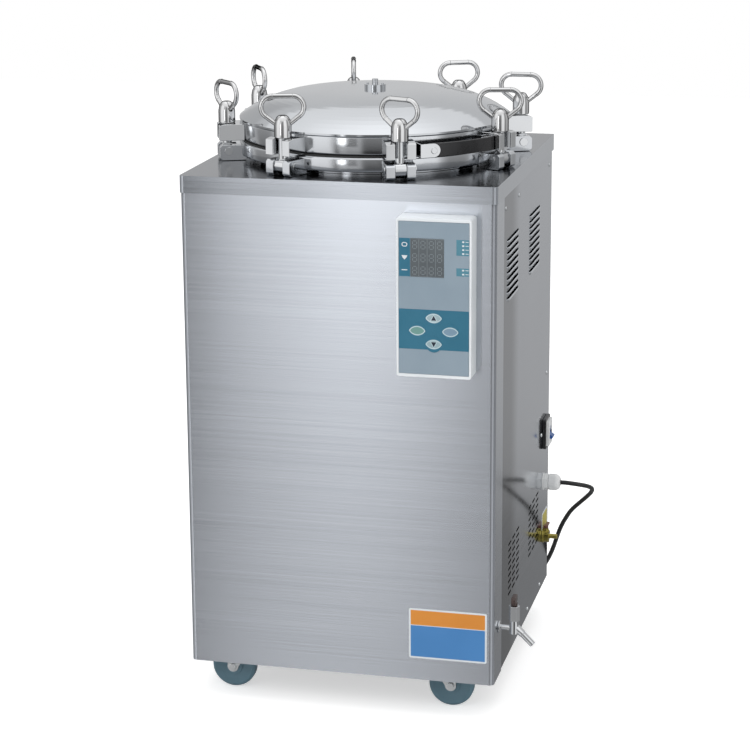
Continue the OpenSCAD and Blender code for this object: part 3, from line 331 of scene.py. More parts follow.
# dark and light colour, roughness, metallic, scales of grain and stain, bump, then coat and outline, the share of
# colour that painted shade leaves at the outline
grainy = {
    "domeSteel": ((0.565, 0.58, 0.60), (0.605, 0.622, 0.642), (0.07, 0.11), 1, 90, 7, 0.004),
    "polishedSteel": ((0.60, 0.61, 0.62), (0.70, 0.71, 0.72), (0.04, 0.09), 1, 60, 9, 0.01),
    "ringSteel": ((0.56, 0.575, 0.595), (0.65, 0.665, 0.685), (0.11, 0.16), 1, 60, 9, 0.01),
    "wireSteel": ((0.62, 0.62, 0.62), (0.72, 0.72, 0.72), (0.04, 0.09), 1, 60, 9, 0.01, 0, 0.12),
    "zincSteel": ((0.70, 0.72, 0.73), (0.84, 0.86, 0.87), (0.1, 0.2), 1, 300, 40, 0.05, 0, 0.35),
    "brass": ((0.30, 0.25, 0.06), (0.47, 0.40, 0.11), (0.25, 0.42), 1, 400, 60, 0.12),
    "whiteHousing": ((0.81, 0.85, 0.88), (0.86, 0.895, 0.92), (0.28, 0.36), 0, 1500, 20, 0.03, 0.2),
    "membraneFilm": ((0.25, 0.325, 0.39), (0.29, 0.365, 0.43), (0.34, 0.42), 0, 2500, 10, 0.05),
    "tealPrint": ((0.02, 0.145, 0.23), (0.028, 0.17, 0.265), (0.34, 0.42), 0, 2500, 14, 0.05),
    "displayGrey": ((0.085, 0.10, 0.11), (0.11, 0.13, 0.14), (0.12, 0.2), 0, 2000, 14, 0.02, 0.4),
    "blackPlastic": ((0.012, 0.012, 0.013), (0.022, 0.022, 0.024), (0.22, 0.36), 0, 1200, 30, 0.06),
    "whiteNylon": ((0.72, 0.73, 0.73), (0.80, 0.81, 0.81), (0.32, 0.42), 0, 1200, 40, 0.06),
    "toggleBlue": ((0.02, 0.08, 0.28), (0.03, 0.12, 0.36), (0.2, 0.3), 0, 1500, 60, 0.05),
    "handleDark": ((0.045, 0.03, 0.027), (0.08, 0.05, 0.045), (0.25, 0.4), 0, 1200, 60, 0.06),
    "leverBrown": ((0.10, 0.035, 0.025), (0.15, 0.05, 0.035), (0.3, 0.42), 0, 1200, 60, 0.06),
    "blackRubber": ((0.012, 0.012, 0.012), (0.02, 0.02, 0.02), (0.4, 0.55), 0, 2500, 30, 0.08),
    "sealRubber": ((0.016, 0.016, 0.016), (0.028, 0.028, 0.028), (0.45, 0.6), 0, 1800, 30, 0.1),
    "paleTeal": ((0.075, 0.235, 0.31), (0.09, 0.26, 0.34), (0.34, 0.42), 0, 2500, 14, 0.05),
    "printWhite": ((0.70, 0.74, 0.77), (0.78, 0.82, 0.84), (0.34, 0.42), 0, 2500, 14, 0.03),
    "digitGrey": ((0.17, 0.20, 0.22), (0.22, 0.25, 0.27), (0.2, 0.3), 0, 2500, 14, 0.02),
    "keyPale": ((0.30, 0.42, 0.46), (0.36, 0.48, 0.52), (0.3, 0.4), 0, 2500, 30, 0.03),
    "keyGreen": ((0.15, 0.32, 0.29), (0.18, 0.36, 0.33), (0.3, 0.4), 0, 2500, 30, 0.03),
    "keyBlue": ((0.19, 0.30, 0.40), (0.23, 0.34, 0.44), (0.3, 0.4), 0, 2500, 30, 0.03),
    "keyRimLight": ((0.48, 0.62, 0.66), (0.55, 0.68, 0.72), (0.3, 0.4), 0, 2500, 30, 0.03),
    "arrowDark": ((0.01, 0.014, 0.03), (0.014, 0.02, 0.04), (0.3, 0.4), 0, 2500, 30, 0.03),
    "plateOrange": ((0.69, 0.25, 0.028), (0.75, 0.28, 0.035), (0.3, 0.4), 0, 1500, 10, 0.03, 0.2),
    "plateBlue": ((0.055, 0.22, 0.51), (0.065, 0.245, 0.56), (0.3, 0.4), 0, 1500, 10, 0.03, 0.2),
    "patchYellow": ((0.50, 0.42, 0.03), (0.58, 0.49, 0.05), (0.3, 0.4), 0, 1500, 30, 0.03, 0.2),
    "wheelRubber": ((0.085, 0.165, 0.21), (0.115, 0.21, 0.265), (0.42, 0.58), 0, 1500, 25, 0.12),
}
finish = {name: brushedMetal(name, **look) for name, look in brushed.items()}
finish.update({name: grainyMaterial(name, *look) for name, look in grainy.items()})
print("materials made", len(finish))

bolts = range(1, 9)
casters = range(1, 5)
nodeFinish = {
    "base_pan": "coverSteel", "support_frame": "zincSteel", "front_panel": "panelSteel",
    "left_side_panel": "sideSteel", "right_side_panel": "sideSteel", "rear_panel": "panelSteel",
    "top_cover": "coverSteel", "chamber_shell": "turnedSteel", "chamber_flange": "ringSteel",
    "clevis_pins": "polishedSteel", "heating_element": "zincSteel", "chamber_grid": "turnedSteel",
    "internal_pipes": "brass", "lid_dome": "domeSteel", "lid_ring": "ringSteel",
    "lid_forks": "polishedSteel", "lid_gasket": "sealRubber", "handle_tabs": "polishedSteel",
    "handle_grips": "blackPlastic", "control_box": "whiteHousing", "membrane_panel": "membraneFilm",
    "display_window": "displayGrey", "key_up": "tealPrint", "key_down": "tealPrint",
    "key_left": "tealPrint", "key_right": "tealPrint", "breaker_frame": "blackPlastic",
    "breaker_body": "whiteNylon", "breaker_toggle": "toggleBlue", "cable_gland": "whiteNylon",
    "power_cord": "blackRubber", "power_plug": "blackRubber", "exhaust_valve": "brass",
    "exhaust_lever": "leverBrown", "drain_tap": "polishedSteel", "drain_handle": "handleDark",
}
for k in bolts:
    nodeFinish["swing_bolt_%d" % k] = "polishedSteel"
    nodeFinish["loop_nut_%d" % k] = "wireSteel"
for k in casters:
    nodeFinish["caster_fork_%d" % k] = "zincSteel"
    nodeFinish["caster_wheel_%d" % k] = "wheelRubber"
for name, obj in nodes.items():
    for s in obj.material_slots:
        s.material = finish[nodeFinish[name]]

# small helpers for pieces

bodies = frame["record"]["behaviour"]["bodies"]
bodyOf = {name: body for body, names in bodies.items() for name in names}


def newPiece(name, mesh, body, finishName):
    obj = addObject(name, mesh)
    mesh.materials.append(finish[finishName])
    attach(obj, body)
    return obj


def meshFrom(work, name):
    mesh = bpy.data.meshes.new(name)
    work.to_mesh(mesh)
    work.free()
    return mesh


def smoothByAngle(mesh, angle):
    mesh.shade_smooth()
    if "custom_normal" in mesh.attributes:
        mesh.attributes.remove(mesh.attributes["custom_normal"])
    mesh.set_sharp_from_angle(angle=math.radians(angle))


# mains lead and coil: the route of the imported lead, in millimetres from the cabinet's middle

cord = {
    "diameter": 8,
    "route": [
        (289, 215, 262), (299, 215, 262), (309, 216, 261), (321, 219, 259), (332, 227, 255),
        (339, 239, 249), (341, 253, 241), (337, 267, 230), (327, 278, 217), (313, 285, 202),
        (299, 289, 187), (288, 291, 170), (279, 293, 152), (272, 294, 133), (266, 295, 114),
        (259, 296, 95), (250, 297, 77), (239, 297, 60), (225, 297, 44), (208, 297, 30),
        (189, 297, 19), (169, 297, 11), (148, 297, 6), (128, 297, 4), (114, 297, 4), (100, 297, 4),
    ],
    "coilCentre": (90, 353),
    "coilRadius": 56,
    "pitch": 8.7,
    "turns": 4,
    "ringsPerTurn": 24,
    "straightEnd": (10, 30),
    "roundness": 6,
}


def cordPoints(c):
    # the coil runs inwards on the floor, climbs a layer in half a turn and runs outwards again
    points = [Vector(p) for p in c["route"]]
    cx, cy = c["coilCentre"]
    half = c["turns"] / 2
    for i in range(c["ringsPerTurn"] * c["turns"] + 1):
        u = i / c["ringsPerTurn"]
        radius = c["coilRadius"] - c["pitch"] * (half - abs(u - half))
        climb = min(1, max(0, 2 * (u - half) + 0.5))
        a = math.radians(-90 - 360 * u)
        points.append(Vector((cx + radius * math.cos(a), cy + radius * math.sin(a),
                              c["diameter"] / 2 + c["pitch"] * climb)))
    for along in c["straightEnd"]:
        points.append(Vector((cx - along, cy - c["coilRadius"], points[-1].z)))
    return points


def makeCord(c):
    points = cordPoints(c)
    curve = bpy.data.curves.new("mainsLead", "CURVE")
    curve.dimensions = "3D"
    curve.bevel_depth = c["diameter"] / 2 * mm
    curve.bevel_resolution = c["roundness"]
    curve.resolution_u = c["roundness"]
    spline = curve.splines.new("BEZIER")
    spline.bezier_points.add(len(points) - 1)
    for bp, p in zip(spline.bezier_points, points):
        bp.co = place(*p)
        bp.handle_left_type = "AUTO"
        bp.handle_right_type = "AUTO"
    curve.materials.append(finish["blackRubber"])
    obj = addObject("mainsLead", curve)
    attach(obj, "cabinet")
    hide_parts("power_cord")


makeCord(cord)

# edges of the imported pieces, eased as on the real ones: width of the rounding in millimetres

edges = {
    "chamber_flange": 0.8, "lid_ring": 0.8, "lid_forks": 0.8, "clevis_pins": 0.4, "handle_tabs": 0.5,
    "handle_grips": 1.2, "control_box": 0.9, "breaker_frame": 0.8, "breaker_body": 0.6,
    "breaker_toggle": 0.8, "exhaust_valve": 0.5, "exhaust_lever": 0.6, "drain_tap": 0.6,
    "drain_handle": 0.8, "power_plug": 1.0,
}
for k in bolts:
    edges["swing_bolt_%d" % k] = 0.6
    edges["loop_nut_%d" % k] = 0.5
for k in casters:
    edges["caster_fork_%d" % k] = 0.4
    edges["caster_wheel_%d" % k] = 0.5

easing = {
    "mergeDistance": 0.02,
    "flatAngle": 1.5,
    "edgeAngle": 32,
    "segments": 2,
}


def easedCopy(name, width, e):
    mesh = nodes[name].data.copy()
    work = bmesh.new()
    work.from_mesh(mesh)
    bmesh.ops.remove_doubles(work, verts=work.verts, dist=e["mergeDistance"] * mm)
    bmesh.ops.dissolve_limit(work, angle_limit=math.radians(e["flatAngle"]), verts=work.verts, edges=work.edges)
    work.to_mesh(mesh)
    work.free()
    mesh.name = name + "_eased"
    mesh.materials.clear()
    obj = newPiece(name + "_eased", mesh, bodyOf[name], nodeFinish[name])
    bevel = obj.modifiers.new("edge", "BEVEL")
    bevel.width = width * mm
    bevel.segments = e["segments"]
    bevel.limit_method = "ANGLE"
    bevel.angle_limit = math.radians(e["edgeAngle"])
    bevel.use_clamp_overlap = False
    bevel.harden_normals = True
    smoothByAngle(mesh, e["edgeAngle"])
    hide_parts(name)


for name, width in edges.items():
    easedCopy(name, width, easing)
print("edges eased", len(edges))

# flat pieces drawn as outlines, in millimetres across and up on one side of the machine


def centred(x, z, width, height):
    return x - width / 2, x + width / 2, z - height / 2, z + height / 2


def rectangle(x0, x1, z0, z1):
    return [(x0, z0), (x1, z0), (x1, z1), (x0, z1)]


def roundedRectangle(x0, x1, z0, z1, radius, steps=6):
    points = []
    for cx, cz, start in ((x1 - radius, z0 + radius, -90), (x1 - radius, z1 - radius, 0),
                          (x0 + radius, z1 - radius, 90), (x0 + radius, z0 + radius, 180)):
        for i in range(steps + 1):
            a = math.radians(start + 90 * i / steps)
            points.append((cx + radius * math.cos(a), cz + radius * math.sin(a)))
    return points


def circleOutline(x, z, radius, count=32):
    turns = [2 * math.pi * i / count for i in range(count)]
    return [(x + radius * math.cos(a), z + radius * math.sin(a)) for a in turns]


# how a flat piece is stood up: its own across, up and out as directions of the machine
stands = {
    "front": Matrix(((1, 0, 0), (0, 0, -1), (0, 1, 0))),
    "right": Matrix(((0, 0, 1), (1, 0, 0), (0, 1, 0))),
    "left": Matrix(((0, 0, -1), (-1, 0, 0), (0, 1, 0))),
    "rear": Matrix(((-1, 0, 0), (0, 0, 1), (0, 1, 0))),
}


def standAt(side, across, up, out):
    turn = stands[side]
    return Matrix.Translation(place(*(turn @ Vector((across, up, out))))) @ turn.to_4x4()


def facePlate(name, outlines, out, depth, finishName, body="cabinet", side="front"):
    # its back plane is out from the cabinet's middle; later outlines cut holes in the first
    curve = bpy.data.curves.new(name, "CURVE")
    curve.dimensions = "2D"
    curve.fill_mode = "BOTH"
    curve.extrude = depth / 2 * mm
    for outline in outlines:
        spline = curve.splines.new("POLY")
        spline.points.add(len(outline) - 1)
        for point, (x, z) in zip(spline.points, outline):
            point.co = (x * mm, z * mm, 0, 1)
        spline.use_cyclic_u = True
    temp = addObject(name, curve)
    bpy.context.view_layer.update()
    mesh = bpy.data.meshes.new_from_object(temp)
    bpy.data.objects.remove(temp)
    mesh.transform(standAt(side, 0, 0, out + depth / 2))
    return newPiece(name, mesh, body, finishName)


# control face: printed areas with holes for the keys, lamps, icons, display, and the keys' own prints

face = {
    "out": 309.4,
    "raise": 0.15,
    "bandX": (111.4, 223.6),
    "bandZ": (635, 699.4),
    "stripX": (112, 129.6),
    "windowX": (130.5, 183.5),
    "windowZ": (751.5, 812.5),
}
printed = face["out"] + face["raise"]

keys = {
    "centre": (167.5, 665),
    "step": (26.5, 21),
    "size": 26,
    # radius and shift of the two larger circles, as shares of the size
    "sideRadius": 0.6,
    "sideShift": 0.3,
    "proud": 0.5,
    "bandGap": 0.35,
    "rim": (0.1, 1.9),
    "rimDepth": 0.12,
    "fillDepth": 0.06,
    # steps across and up from the centre, and finish
    "each": {
        "up": (0, 1, "keyPale"), "down": (0, -1, "keyPale"),
        "left": (-1, 0, "keyGreen"), "right": (1, 0, "keyBlue"),
    },
    # half width, foot and tip of an arrow that points up
    "arrowEdge": (6.2, -4.6, 6.2),
    "arrow": (4.2, -3.6, 4.4),
}


def keyPlace(k, label):
    across, up, _ = k["each"][label]
    return k["centre"][0] + across * k["step"][0], k["centre"][1] + up * k["step"][1]


def keyOutline(k, label, inset, count=48):
    # an oval between one small and two larger circles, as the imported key
    kx, kz = keyPlace(k, label)
    big = k["size"] * k["sideRadius"]
    points = []
    for i in range(count):
        a = 2 * math.pi * i / count
        u = Vector((math.cos(a), math.sin(a)))
        reach = k["size"] / 2
        for side in (-1, 1):
            c = Vector((0, side * k["size"] * k["sideShift"]))
            along = u.dot(c)
            reach = min(reach, along + math.sqrt(max(0, along * along - c.length_squared + big * big)))
        points.append((kx + u.x * (reach - inset), kz + u.y * (reach - inset)))
    return points


def makePrintedAreas(f):
    holes = [keyOutline(keys, label, -keys["bandGap"]) for label in keys["each"]]
    facePlate("keyBand", [rectangle(*f["bandX"], *f["bandZ"])] + holes, f["out"], f["raise"], "tealPrint")
    facePlate("iconStrip", [rectangle(*f["stripX"], *f["windowZ"])], f["out"], f["raise"], "tealPrint")


makePrintedAreas(face)

# two blocks of lamps beside the window: lenses and lines lie across from the block's left edge
lampBlocks = {
    "x": (203.4, 223.4),
    # bottom, top and number of lamps
    "rows": [(787.8, 812.8, 4), (755.2, 767.8, 2)],
    "lensAt": 10.8,
    "lensSize": (3.6, 2.6),
    "lensCorner": 1.2,
    "lensDepth": 0.3,
    "lineAt": 16.9,
    "lineSize": (5, 1),
    "lineDepth": 0.1,
}


def makeLampBlocks(b):
    x0, x1 = b["x"]
    for i, (z0, z1, count) in enumerate(b["rows"], 1):
        facePlate("lampBlock_%d" % i, [rectangle(x0, x1, z0, z1)], face["out"], face["raise"], "paleTeal")
        for j in range(count):
            z = z0 + (z1 - z0) * (j + 0.5) / count
            lens = roundedRectangle(*centred(x0 + b["lensAt"], z, *b["lensSize"]), b["lensCorner"])
            line = rectangle(*centred(x0 + b["lineAt"], z, *b["lineSize"]))
            facePlate("lampLens_%d_%d" % (i, j + 1), [lens], printed, b["lensDepth"], "printWhite")
            facePlate("lampLine_%d_%d" % (i, j + 1), [line], printed, b["lineDepth"], "printWhite")


makeLampBlocks(lampBlocks)

# icons on the strip from the top downwards, each drawn round its own middle
icons = {
    "outlines": [
        [roundedRectangle(-4.6, 4.6, -3.6, 3.6, 3.5), roundedRectangle(-3.2, 3.2, -2.2, 2.2, 2.1)],
        [[(-4.6, 3), (-3.2, -0.5), (0, -4), (3.2, -0.5), (4.6, 3)]],
        [rectangle(-4.6, 4.6, -0.6, 0.8)],
    ],
    "depth": 0.1,
}


def makeIcons(s):
    x = sum(face["stripX"]) / 2
    z0, z1 = face["windowZ"]
    for i, outlines in enumerate(s["outlines"]):
        z = z1 - (z1 - z0) * (i + 0.5) / len(s["outlines"])
        moved = [[(x + u, z + v) for u, v in outline] for outline in outlines]
        facePlate("stripIcon_%d" % (i + 1), moved, printed, s["depth"], "printWhite")


makeIcons(icons)

display = {
    "glass": 0.3,
    "depth": 0.08,
    "columns": 4,
    "rows": 3,
    # share of its cell that a digit fills
    "digitSize": (0.5, 0.6),
    "bar": 1.5,
    "barTip": 0.4,
    "railEdge": 0.4,
    "rail": 0.7,
    "post": 1,
    "postEnd": 1.4,
}


def segmentOutlines(x, z, w, h, t, tip):
    # the seven bars of one display digit
    half = h / 2
    bars = []
    for cz in (z, z + half, z + h):
        bars.append([(x + t, cz - t / 2), (x + w - t, cz - t / 2), (x + w - tip, cz), (x + w - t, cz + t / 2),
                     (x + t, cz + t / 2), (x + tip, cz)])
    for cx in (x, x + w):
        for cz in (z, z + half):
            bars.append([(cx - t / 2, cz + t), (cx, cz + tip), (cx + t / 2, cz + t), (cx + t / 2, cz + half - t),
                         (cx, cz + half - tip), (cx - t / 2, cz + half - t)])
    return bars


def makeDisplay(d):
    x0, x1 = face["windowX"]
    z0, z1 = face["windowZ"]
    cellW = (x1 - x0) / d["columns"]
    cellH = (z1 - z0) / d["rows"]
    w, h = cellW * d["digitSize"][0], cellH * d["digitSize"][1]
    bars = []
    for r in range(d["rows"]):
        for c in range(d["columns"]):
            x = x0 + cellW * (c + 0.5) - w / 2
            z = z0 + cellH * (r + 0.5) - h / 2
            bars += segmentOutlines(x, z, w, h, d["bar"], d["bar"] * d["barTip"])
    edge, rail, end = d["railEdge"], d["rail"], d["postEnd"]
    rails = [rectangle(x0 + edge, x1 - edge, z1 - edge - rail, z1 - edge),
             rectangle(x0 + edge, x1 - edge, z0 + edge, z0 + edge + rail)]
    for c in range(1, d["columns"]):
        x = x0 + cellW * c
        rails.append(rectangle(x - d["post"] / 2, x + d["post"] / 2, z0 + end, z1 - end))
    for name, outlines in (("displayDigits", bars), ("displayRails", rails)):
        facePlate(name, outlines, face["out"] + d["glass"], d["depth"], "digitGrey")


makeDisplay(display)


def makeKeys(k):
    front = face["out"] + k["proud"]
    filled = front + k["fillDepth"]
    for label, (_, _, finishName) in k["each"].items():
        body = "key_" + label
        outer, inner = (keyOutline(k, label, inset) for inset in k["rim"])
        facePlate("keyRim_" + label, [outer, inner], front, k["rimDepth"], "keyRimLight", body)
        facePlate("keyFill_" + label, [inner], front, k["fillDepth"], finishName, body)
    for label, turn in (("up", 1), ("down", -1)):
        body = "key_" + label
        x, z = keyPlace(k, label)
        edge, middle = ([(x - half, z + foot * turn), (x + half, z + foot * turn), (x, z + tip * turn)]
                        for half, foot, tip in (k["arrowEdge"], k["arrow"]))
        facePlate("keyArrowEdge_" + label, [edge], filled, k["rimDepth"], "keyRimLight", body)
        facePlate("keyArrow_" + label, [middle], filled + k["rimDepth"], k["fillDepth"], "arrowDark",
                  body)


makeKeys(keys)

# blank two-colour plate at the lower right of the front

plate = {
    "out": 268.5,
    "x": (117, 247),
    "z": (99.5, 186),
    "corner": 3,
    "depth": 0.25,
    "border": 3,
    "split": 157,
    "splitWidth": 1.2,
    "fieldCorner": 1,
    "fieldDepth": 0.08,
}


def makePlate(p):
    x0, x1 = p["x"]
    z0, z1 = p["z"]
    b = p["border"]
    half = p["splitWidth"] / 2
    facePlate("plateEdge", [roundedRectangle(x0, x1, z0, z1, p["corner"])], p["out"], p["depth"], "printWhite")
    fields = {"plateUpper": (p["split"] + half, z1 - b, "plateOrange"),
              "plateLower": (z0 + b, p["split"] - half, "plateBlue")}
    for name, (low, high, finishName) in fields.items():
        facePlate(name, [roundedRectangle(x0 + b, x1 - b, low, high, p["fieldCorner"])], p["out"] + p["depth"],
                  p["fieldDepth"], finishName)


makePlate(plate)
print("face and plate made")

# side panels with pressed louvres, open upwards

panels = {
    "out": 257.0,
    "rear": 268.5,
    "sheet": 1.2,
    "flange": 20,
    "corner": 1.2,
    "cornerSteps": 3,
    "louvreY": (-116, 92),
    "louvreTop": 787,
    "louvres": 10,
    "louvrePitch": 10.7,
    "louvreLength": 108,
    # opening behind a hood: shorter by this at each end, then bottom and top from the louvre's line
    "mouthInset": 2,
    "mouth": (-6.8, -1),
    "hoodOut": 2.9,
    "hoodHeight": 7,
    "hoodEnd": 15,
    "hoodSheet": 0.9,
    # a hood starts this far inside the sheet's face, and at its ends keeps this share of its height
    "hoodInside": 0.5,
    "hoodEndShare": 0.35,
    "hoodSteps": (26, 7),
    "lipDrop": 2.8,
    "ventY": (-83, 113),
    "ventTop": 258,
    "ventRows": 9,
    "ventColumns": 3,
    "ventSize": (26, 4),
    "ventPitch": (37, 11),
    # openings behind the breaker, the gland and the exhaust valve
    "breakerHole": (224, 354, 38, 47),
    "roundHoles": [(215, 262, 10.8), (213, 159, 5.8)],
}


def panelOutlines(p, side, sign, low, high):
    # the sheet and its openings, across as seen on a right side and mirrored for the left
    half = p["louvreLength"] / 2 - p["mouthInset"]
    boxes = []
    holes = []
    for y in p["louvreY"]:
        for i in range(p["louvres"]):
            z = p["louvreTop"] - i * p["louvrePitch"]
            boxes.append((y - half, y + half, z + p["mouth"][0], z + p["mouth"][1]))
    if side == "right":
        for y in p["ventY"]:
            for c in range(p["ventColumns"]):
                for r in range(p["ventRows"]):
                    across = y + (c - (p["ventColumns"] - 1) / 2) * p["ventPitch"][0]
                    boxes.append(centred(across, p["ventTop"] - r * p["ventPitch"][1], *p["ventSize"]))
        holes = [rectangle(*centred(*p["breakerHole"]))] + [circleOutline(*hole) for hole in p["roundHoles"]]
    sheet = rectangle((low.y - cabinetY) / mm, (high.y - cabinetY) / mm, low.z / mm, high.z / mm)
    slots = [roundedRectangle(*box, p["corner"], p["cornerSteps"]) for box in boxes]
    return [[(sign * u, v) for u, v in outline] for outline in [sheet] + slots + holes]


def louvreMesh(name, p, sign):
    # pressed hoods: each swells out of the sheet at its foot and ends in a free lip on top
    work = bmesh.new()
    acrossSteps, roundSteps = p["hoodSteps"]
    inside, endShare = p["hoodInside"], p["hoodEndShare"]
    for y in p["louvreY"]:
        for i in range(p["louvres"]):
            lip = p["louvreTop"] - i * p["louvrePitch"] - p["lipDrop"]
            rows = []
            for a in range(acrossSteps + 1):
                along = p["louvreLength"] * (a / acrossSteps - 0.5)
                toEnd = p["louvreLength"] / 2 - abs(along)
                swell = math.sin(math.pi / 2 * min(1, toEnd / p["hoodEnd"]))
                height = p["hoodHeight"] * (endShare + (1 - endShare) * swell)
                row = []
                for r in range(roundSteps + 1):
                    turn = math.pi / 2 * r / roundSteps
                    out = p["out"] - inside + (p["hoodOut"] + inside) * swell * math.sin(turn)
                    row.append(work.verts.new(place(sign * out, y + along, lip - height * math.cos(turn))))
                rows.append(row)
            for low, high in zip(rows, rows[1:]):
                for r in range(roundSteps):
                    corners = (low[r], high[r], high[r + 1], low[r + 1])
                    work.faces.new(corners if sign > 0 else corners[::-1])
    mesh = meshFrom(work, name)
    mesh.shade_smooth()
    return mesh


def makeSidePanel(p, side, sign, finishName):
    node = side + "_side_panel"
    low, high = (Vector(v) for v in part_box(node))
    sheet = facePlate(side + "Sheet", panelOutlines(p, side, sign, low, high), p["out"] - p["sheet"], p["sheet"],
                      finishName, side=side)
    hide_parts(node)
    # seen from behind, across runs the other way
    edge = sorted((-sign * (p["out"] - p["flange"]), -sign * p["out"]))
    facePlate(side + "RearFlange", [rectangle(*edge, low.z / mm, high.z / mm)],
              p["rear"] - p["sheet"], p["sheet"], finishName, side="rear")
    name = side + "Louvres"
    # the hoods' steel is lighter, a painted highlight
    hoods = newPiece(name, louvreMesh(name, p, sign), "cabinet", "hoodSteelPaintedHighlight")
    solid = hoods.modifiers.new("sheet", "SOLIDIFY")
    solid.thickness = p["hoodSheet"] * mm
    solid.offset = -1


makeSidePanel(panels, "right", 1, "sideSteel")
makeSidePanel(panels, "left", -1, "farSideSteel")

# blank yellow patch with a white edge above the exhaust valve

patch = {
    "y": (206, 262),
    "z": (166, 202),
    "corner": 9,
    "depth": 0.2,
    "border": 3.5,
    "fieldDepth": 0.08,
}


def makePatch(p):
    y0, y1 = p["y"]
    z0, z1 = p["z"]
    b = p["border"]
    out = panels["out"]
    facePlate("patchEdge", [roundedRectangle(y0, y1, z0, z1, p["corner"])], out, p["depth"], "printWhite",
              side="right")
    facePlate("patchField", [roundedRectangle(y0 + b, y1 - b, z0 + b, z1 - b, p["corner"] - b)], out + p["depth"],
              p["fieldDepth"], "patchYellow", side="right")


makePatch(patch)

# turned pieces


def grooveDepth(g, radius, height, a):
    low, high = g["between"]
    outside = radius > g["outside"] and low <= height <= high
    return g["depth"] if outside and math.cos(g["ribs"] * a) < g["wave"] else 0


def turnProfile(work, spot, profile, steps, groove=None):
    # rings round the axis of spot, joined in the profile's order; radius 0 is one point
    rings = []
    for radius, height in profile:
        ring = []
        for i in range(steps if radius else 1):
            a = 2 * math.pi * i / steps
            r = radius - grooveDepth(groove, radius, height, a) if groove else radius
            ring.append(work.verts.new(spot @ (Vector((r * math.cos(a), r * math.sin(a), height)) * mm)))
        rings.append(ring)
    for low, high in zip(rings, rings[1:]):
        for i in range(steps):
            j = (i + 1) % steps
            work.faces.new((low[i], low[j], high[j], high[i]) if len(high) > 1 else (low[i], low[j], high[0]))


# screws with a round head and a socket: profile as radius and height, places across and up

screw = {
    "profile": [(3.6, 0), (3.6, 0.5), (3.2, 1.1), (2.4, 1.45), (1.5, 1.5), (1.3, 0.5), (0, 0.5)],
    "steps": 24,
    "smoothAngle": 40,
    "places": {
        "right": [(190, 356), (187, 74), (-60, 74), (60, 74), (240, 840), (240, 460), (-60, 840), (-180, 840)],
        "left": [(-187, 74), (60, 74), (-60, 74), (-240, 840), (-240, 460), (60, 840), (180, 840)],
        "rear": [(x, z) for x in (-225, 0, 225) for z in (76, 330, 600, 846)],
    },
}


def makeScrews(s):
    for side, places in s["places"].items():
        out = panels["rear"] if side == "rear" else panels["out"]
        work = bmesh.new()
        for across, up in places:
            turnProfile(work, standAt(side, across, up, out), s["profile"], s["steps"])
        mesh = meshFrom(work, side + "Screws")
        smoothByAngle(mesh, s["smoothAngle"])
        newPiece(side + "Screws", mesh, "cabinet", "zincSteel")


makeScrews(screw)
print("panels, patch and screws made")

# cable gland round the lead: body, hexagon, neck and ribbed cap nut

gland = {
    "at": (panels["out"], 215, 262),
    # profile as radius and distance from the panel, number of sides, and whether it is grooved
    "parts": [
        ([(4.4, -12), (10, -12), (10, -0.2), (15.2, 0), (15.6, 0.4), (15.6, 1.6), (15.2, 2), (13, 2)], 48, False),
        ([(12, 2), (14.6, 2), (15.6, 2.9), (15.6, 9.1), (14.6, 10), (12, 10)], 6, False),
        ([(13, 10), (13, 12)], 48, False),
        ([(12, 11.2), (14.2, 11.2), (14.9, 12), (14.9, 23), (14.4, 25.2), (12.8, 28), (10.4, 30.3),
          (7.6, 31.6), (6.4, 31.7), (5.6, 31.2), (4.4, 29.5), (4.4, 14)], 72, True),
    ],
    # grooves lie outside a radius and between two heights, where the wave of the ribs is low
    "groove": {"ribs": 18, "depth": 0.5, "outside": 12, "between": (12, 25.2), "wave": -0.2},
    "smoothAngle": 30,
}


def makeGland(g):
    work = bmesh.new()
    spot = Matrix.Translation(place(*g["at"])) @ Matrix.Rotation(math.radians(90), 4, "Y")
    for profile, steps, grooved in g["parts"]:
        turnProfile(work, spot, profile, steps, g["groove"] if grooved else None)
    mesh = meshFrom(work, "gland")
    smoothByAngle(mesh, g["smoothAngle"])
    obj = newPiece("gland", mesh, "cabinet", "whiteNylon")
    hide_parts("cable_gland")


makeGland(gland)
print("gland made")

# floor, light and surroundings

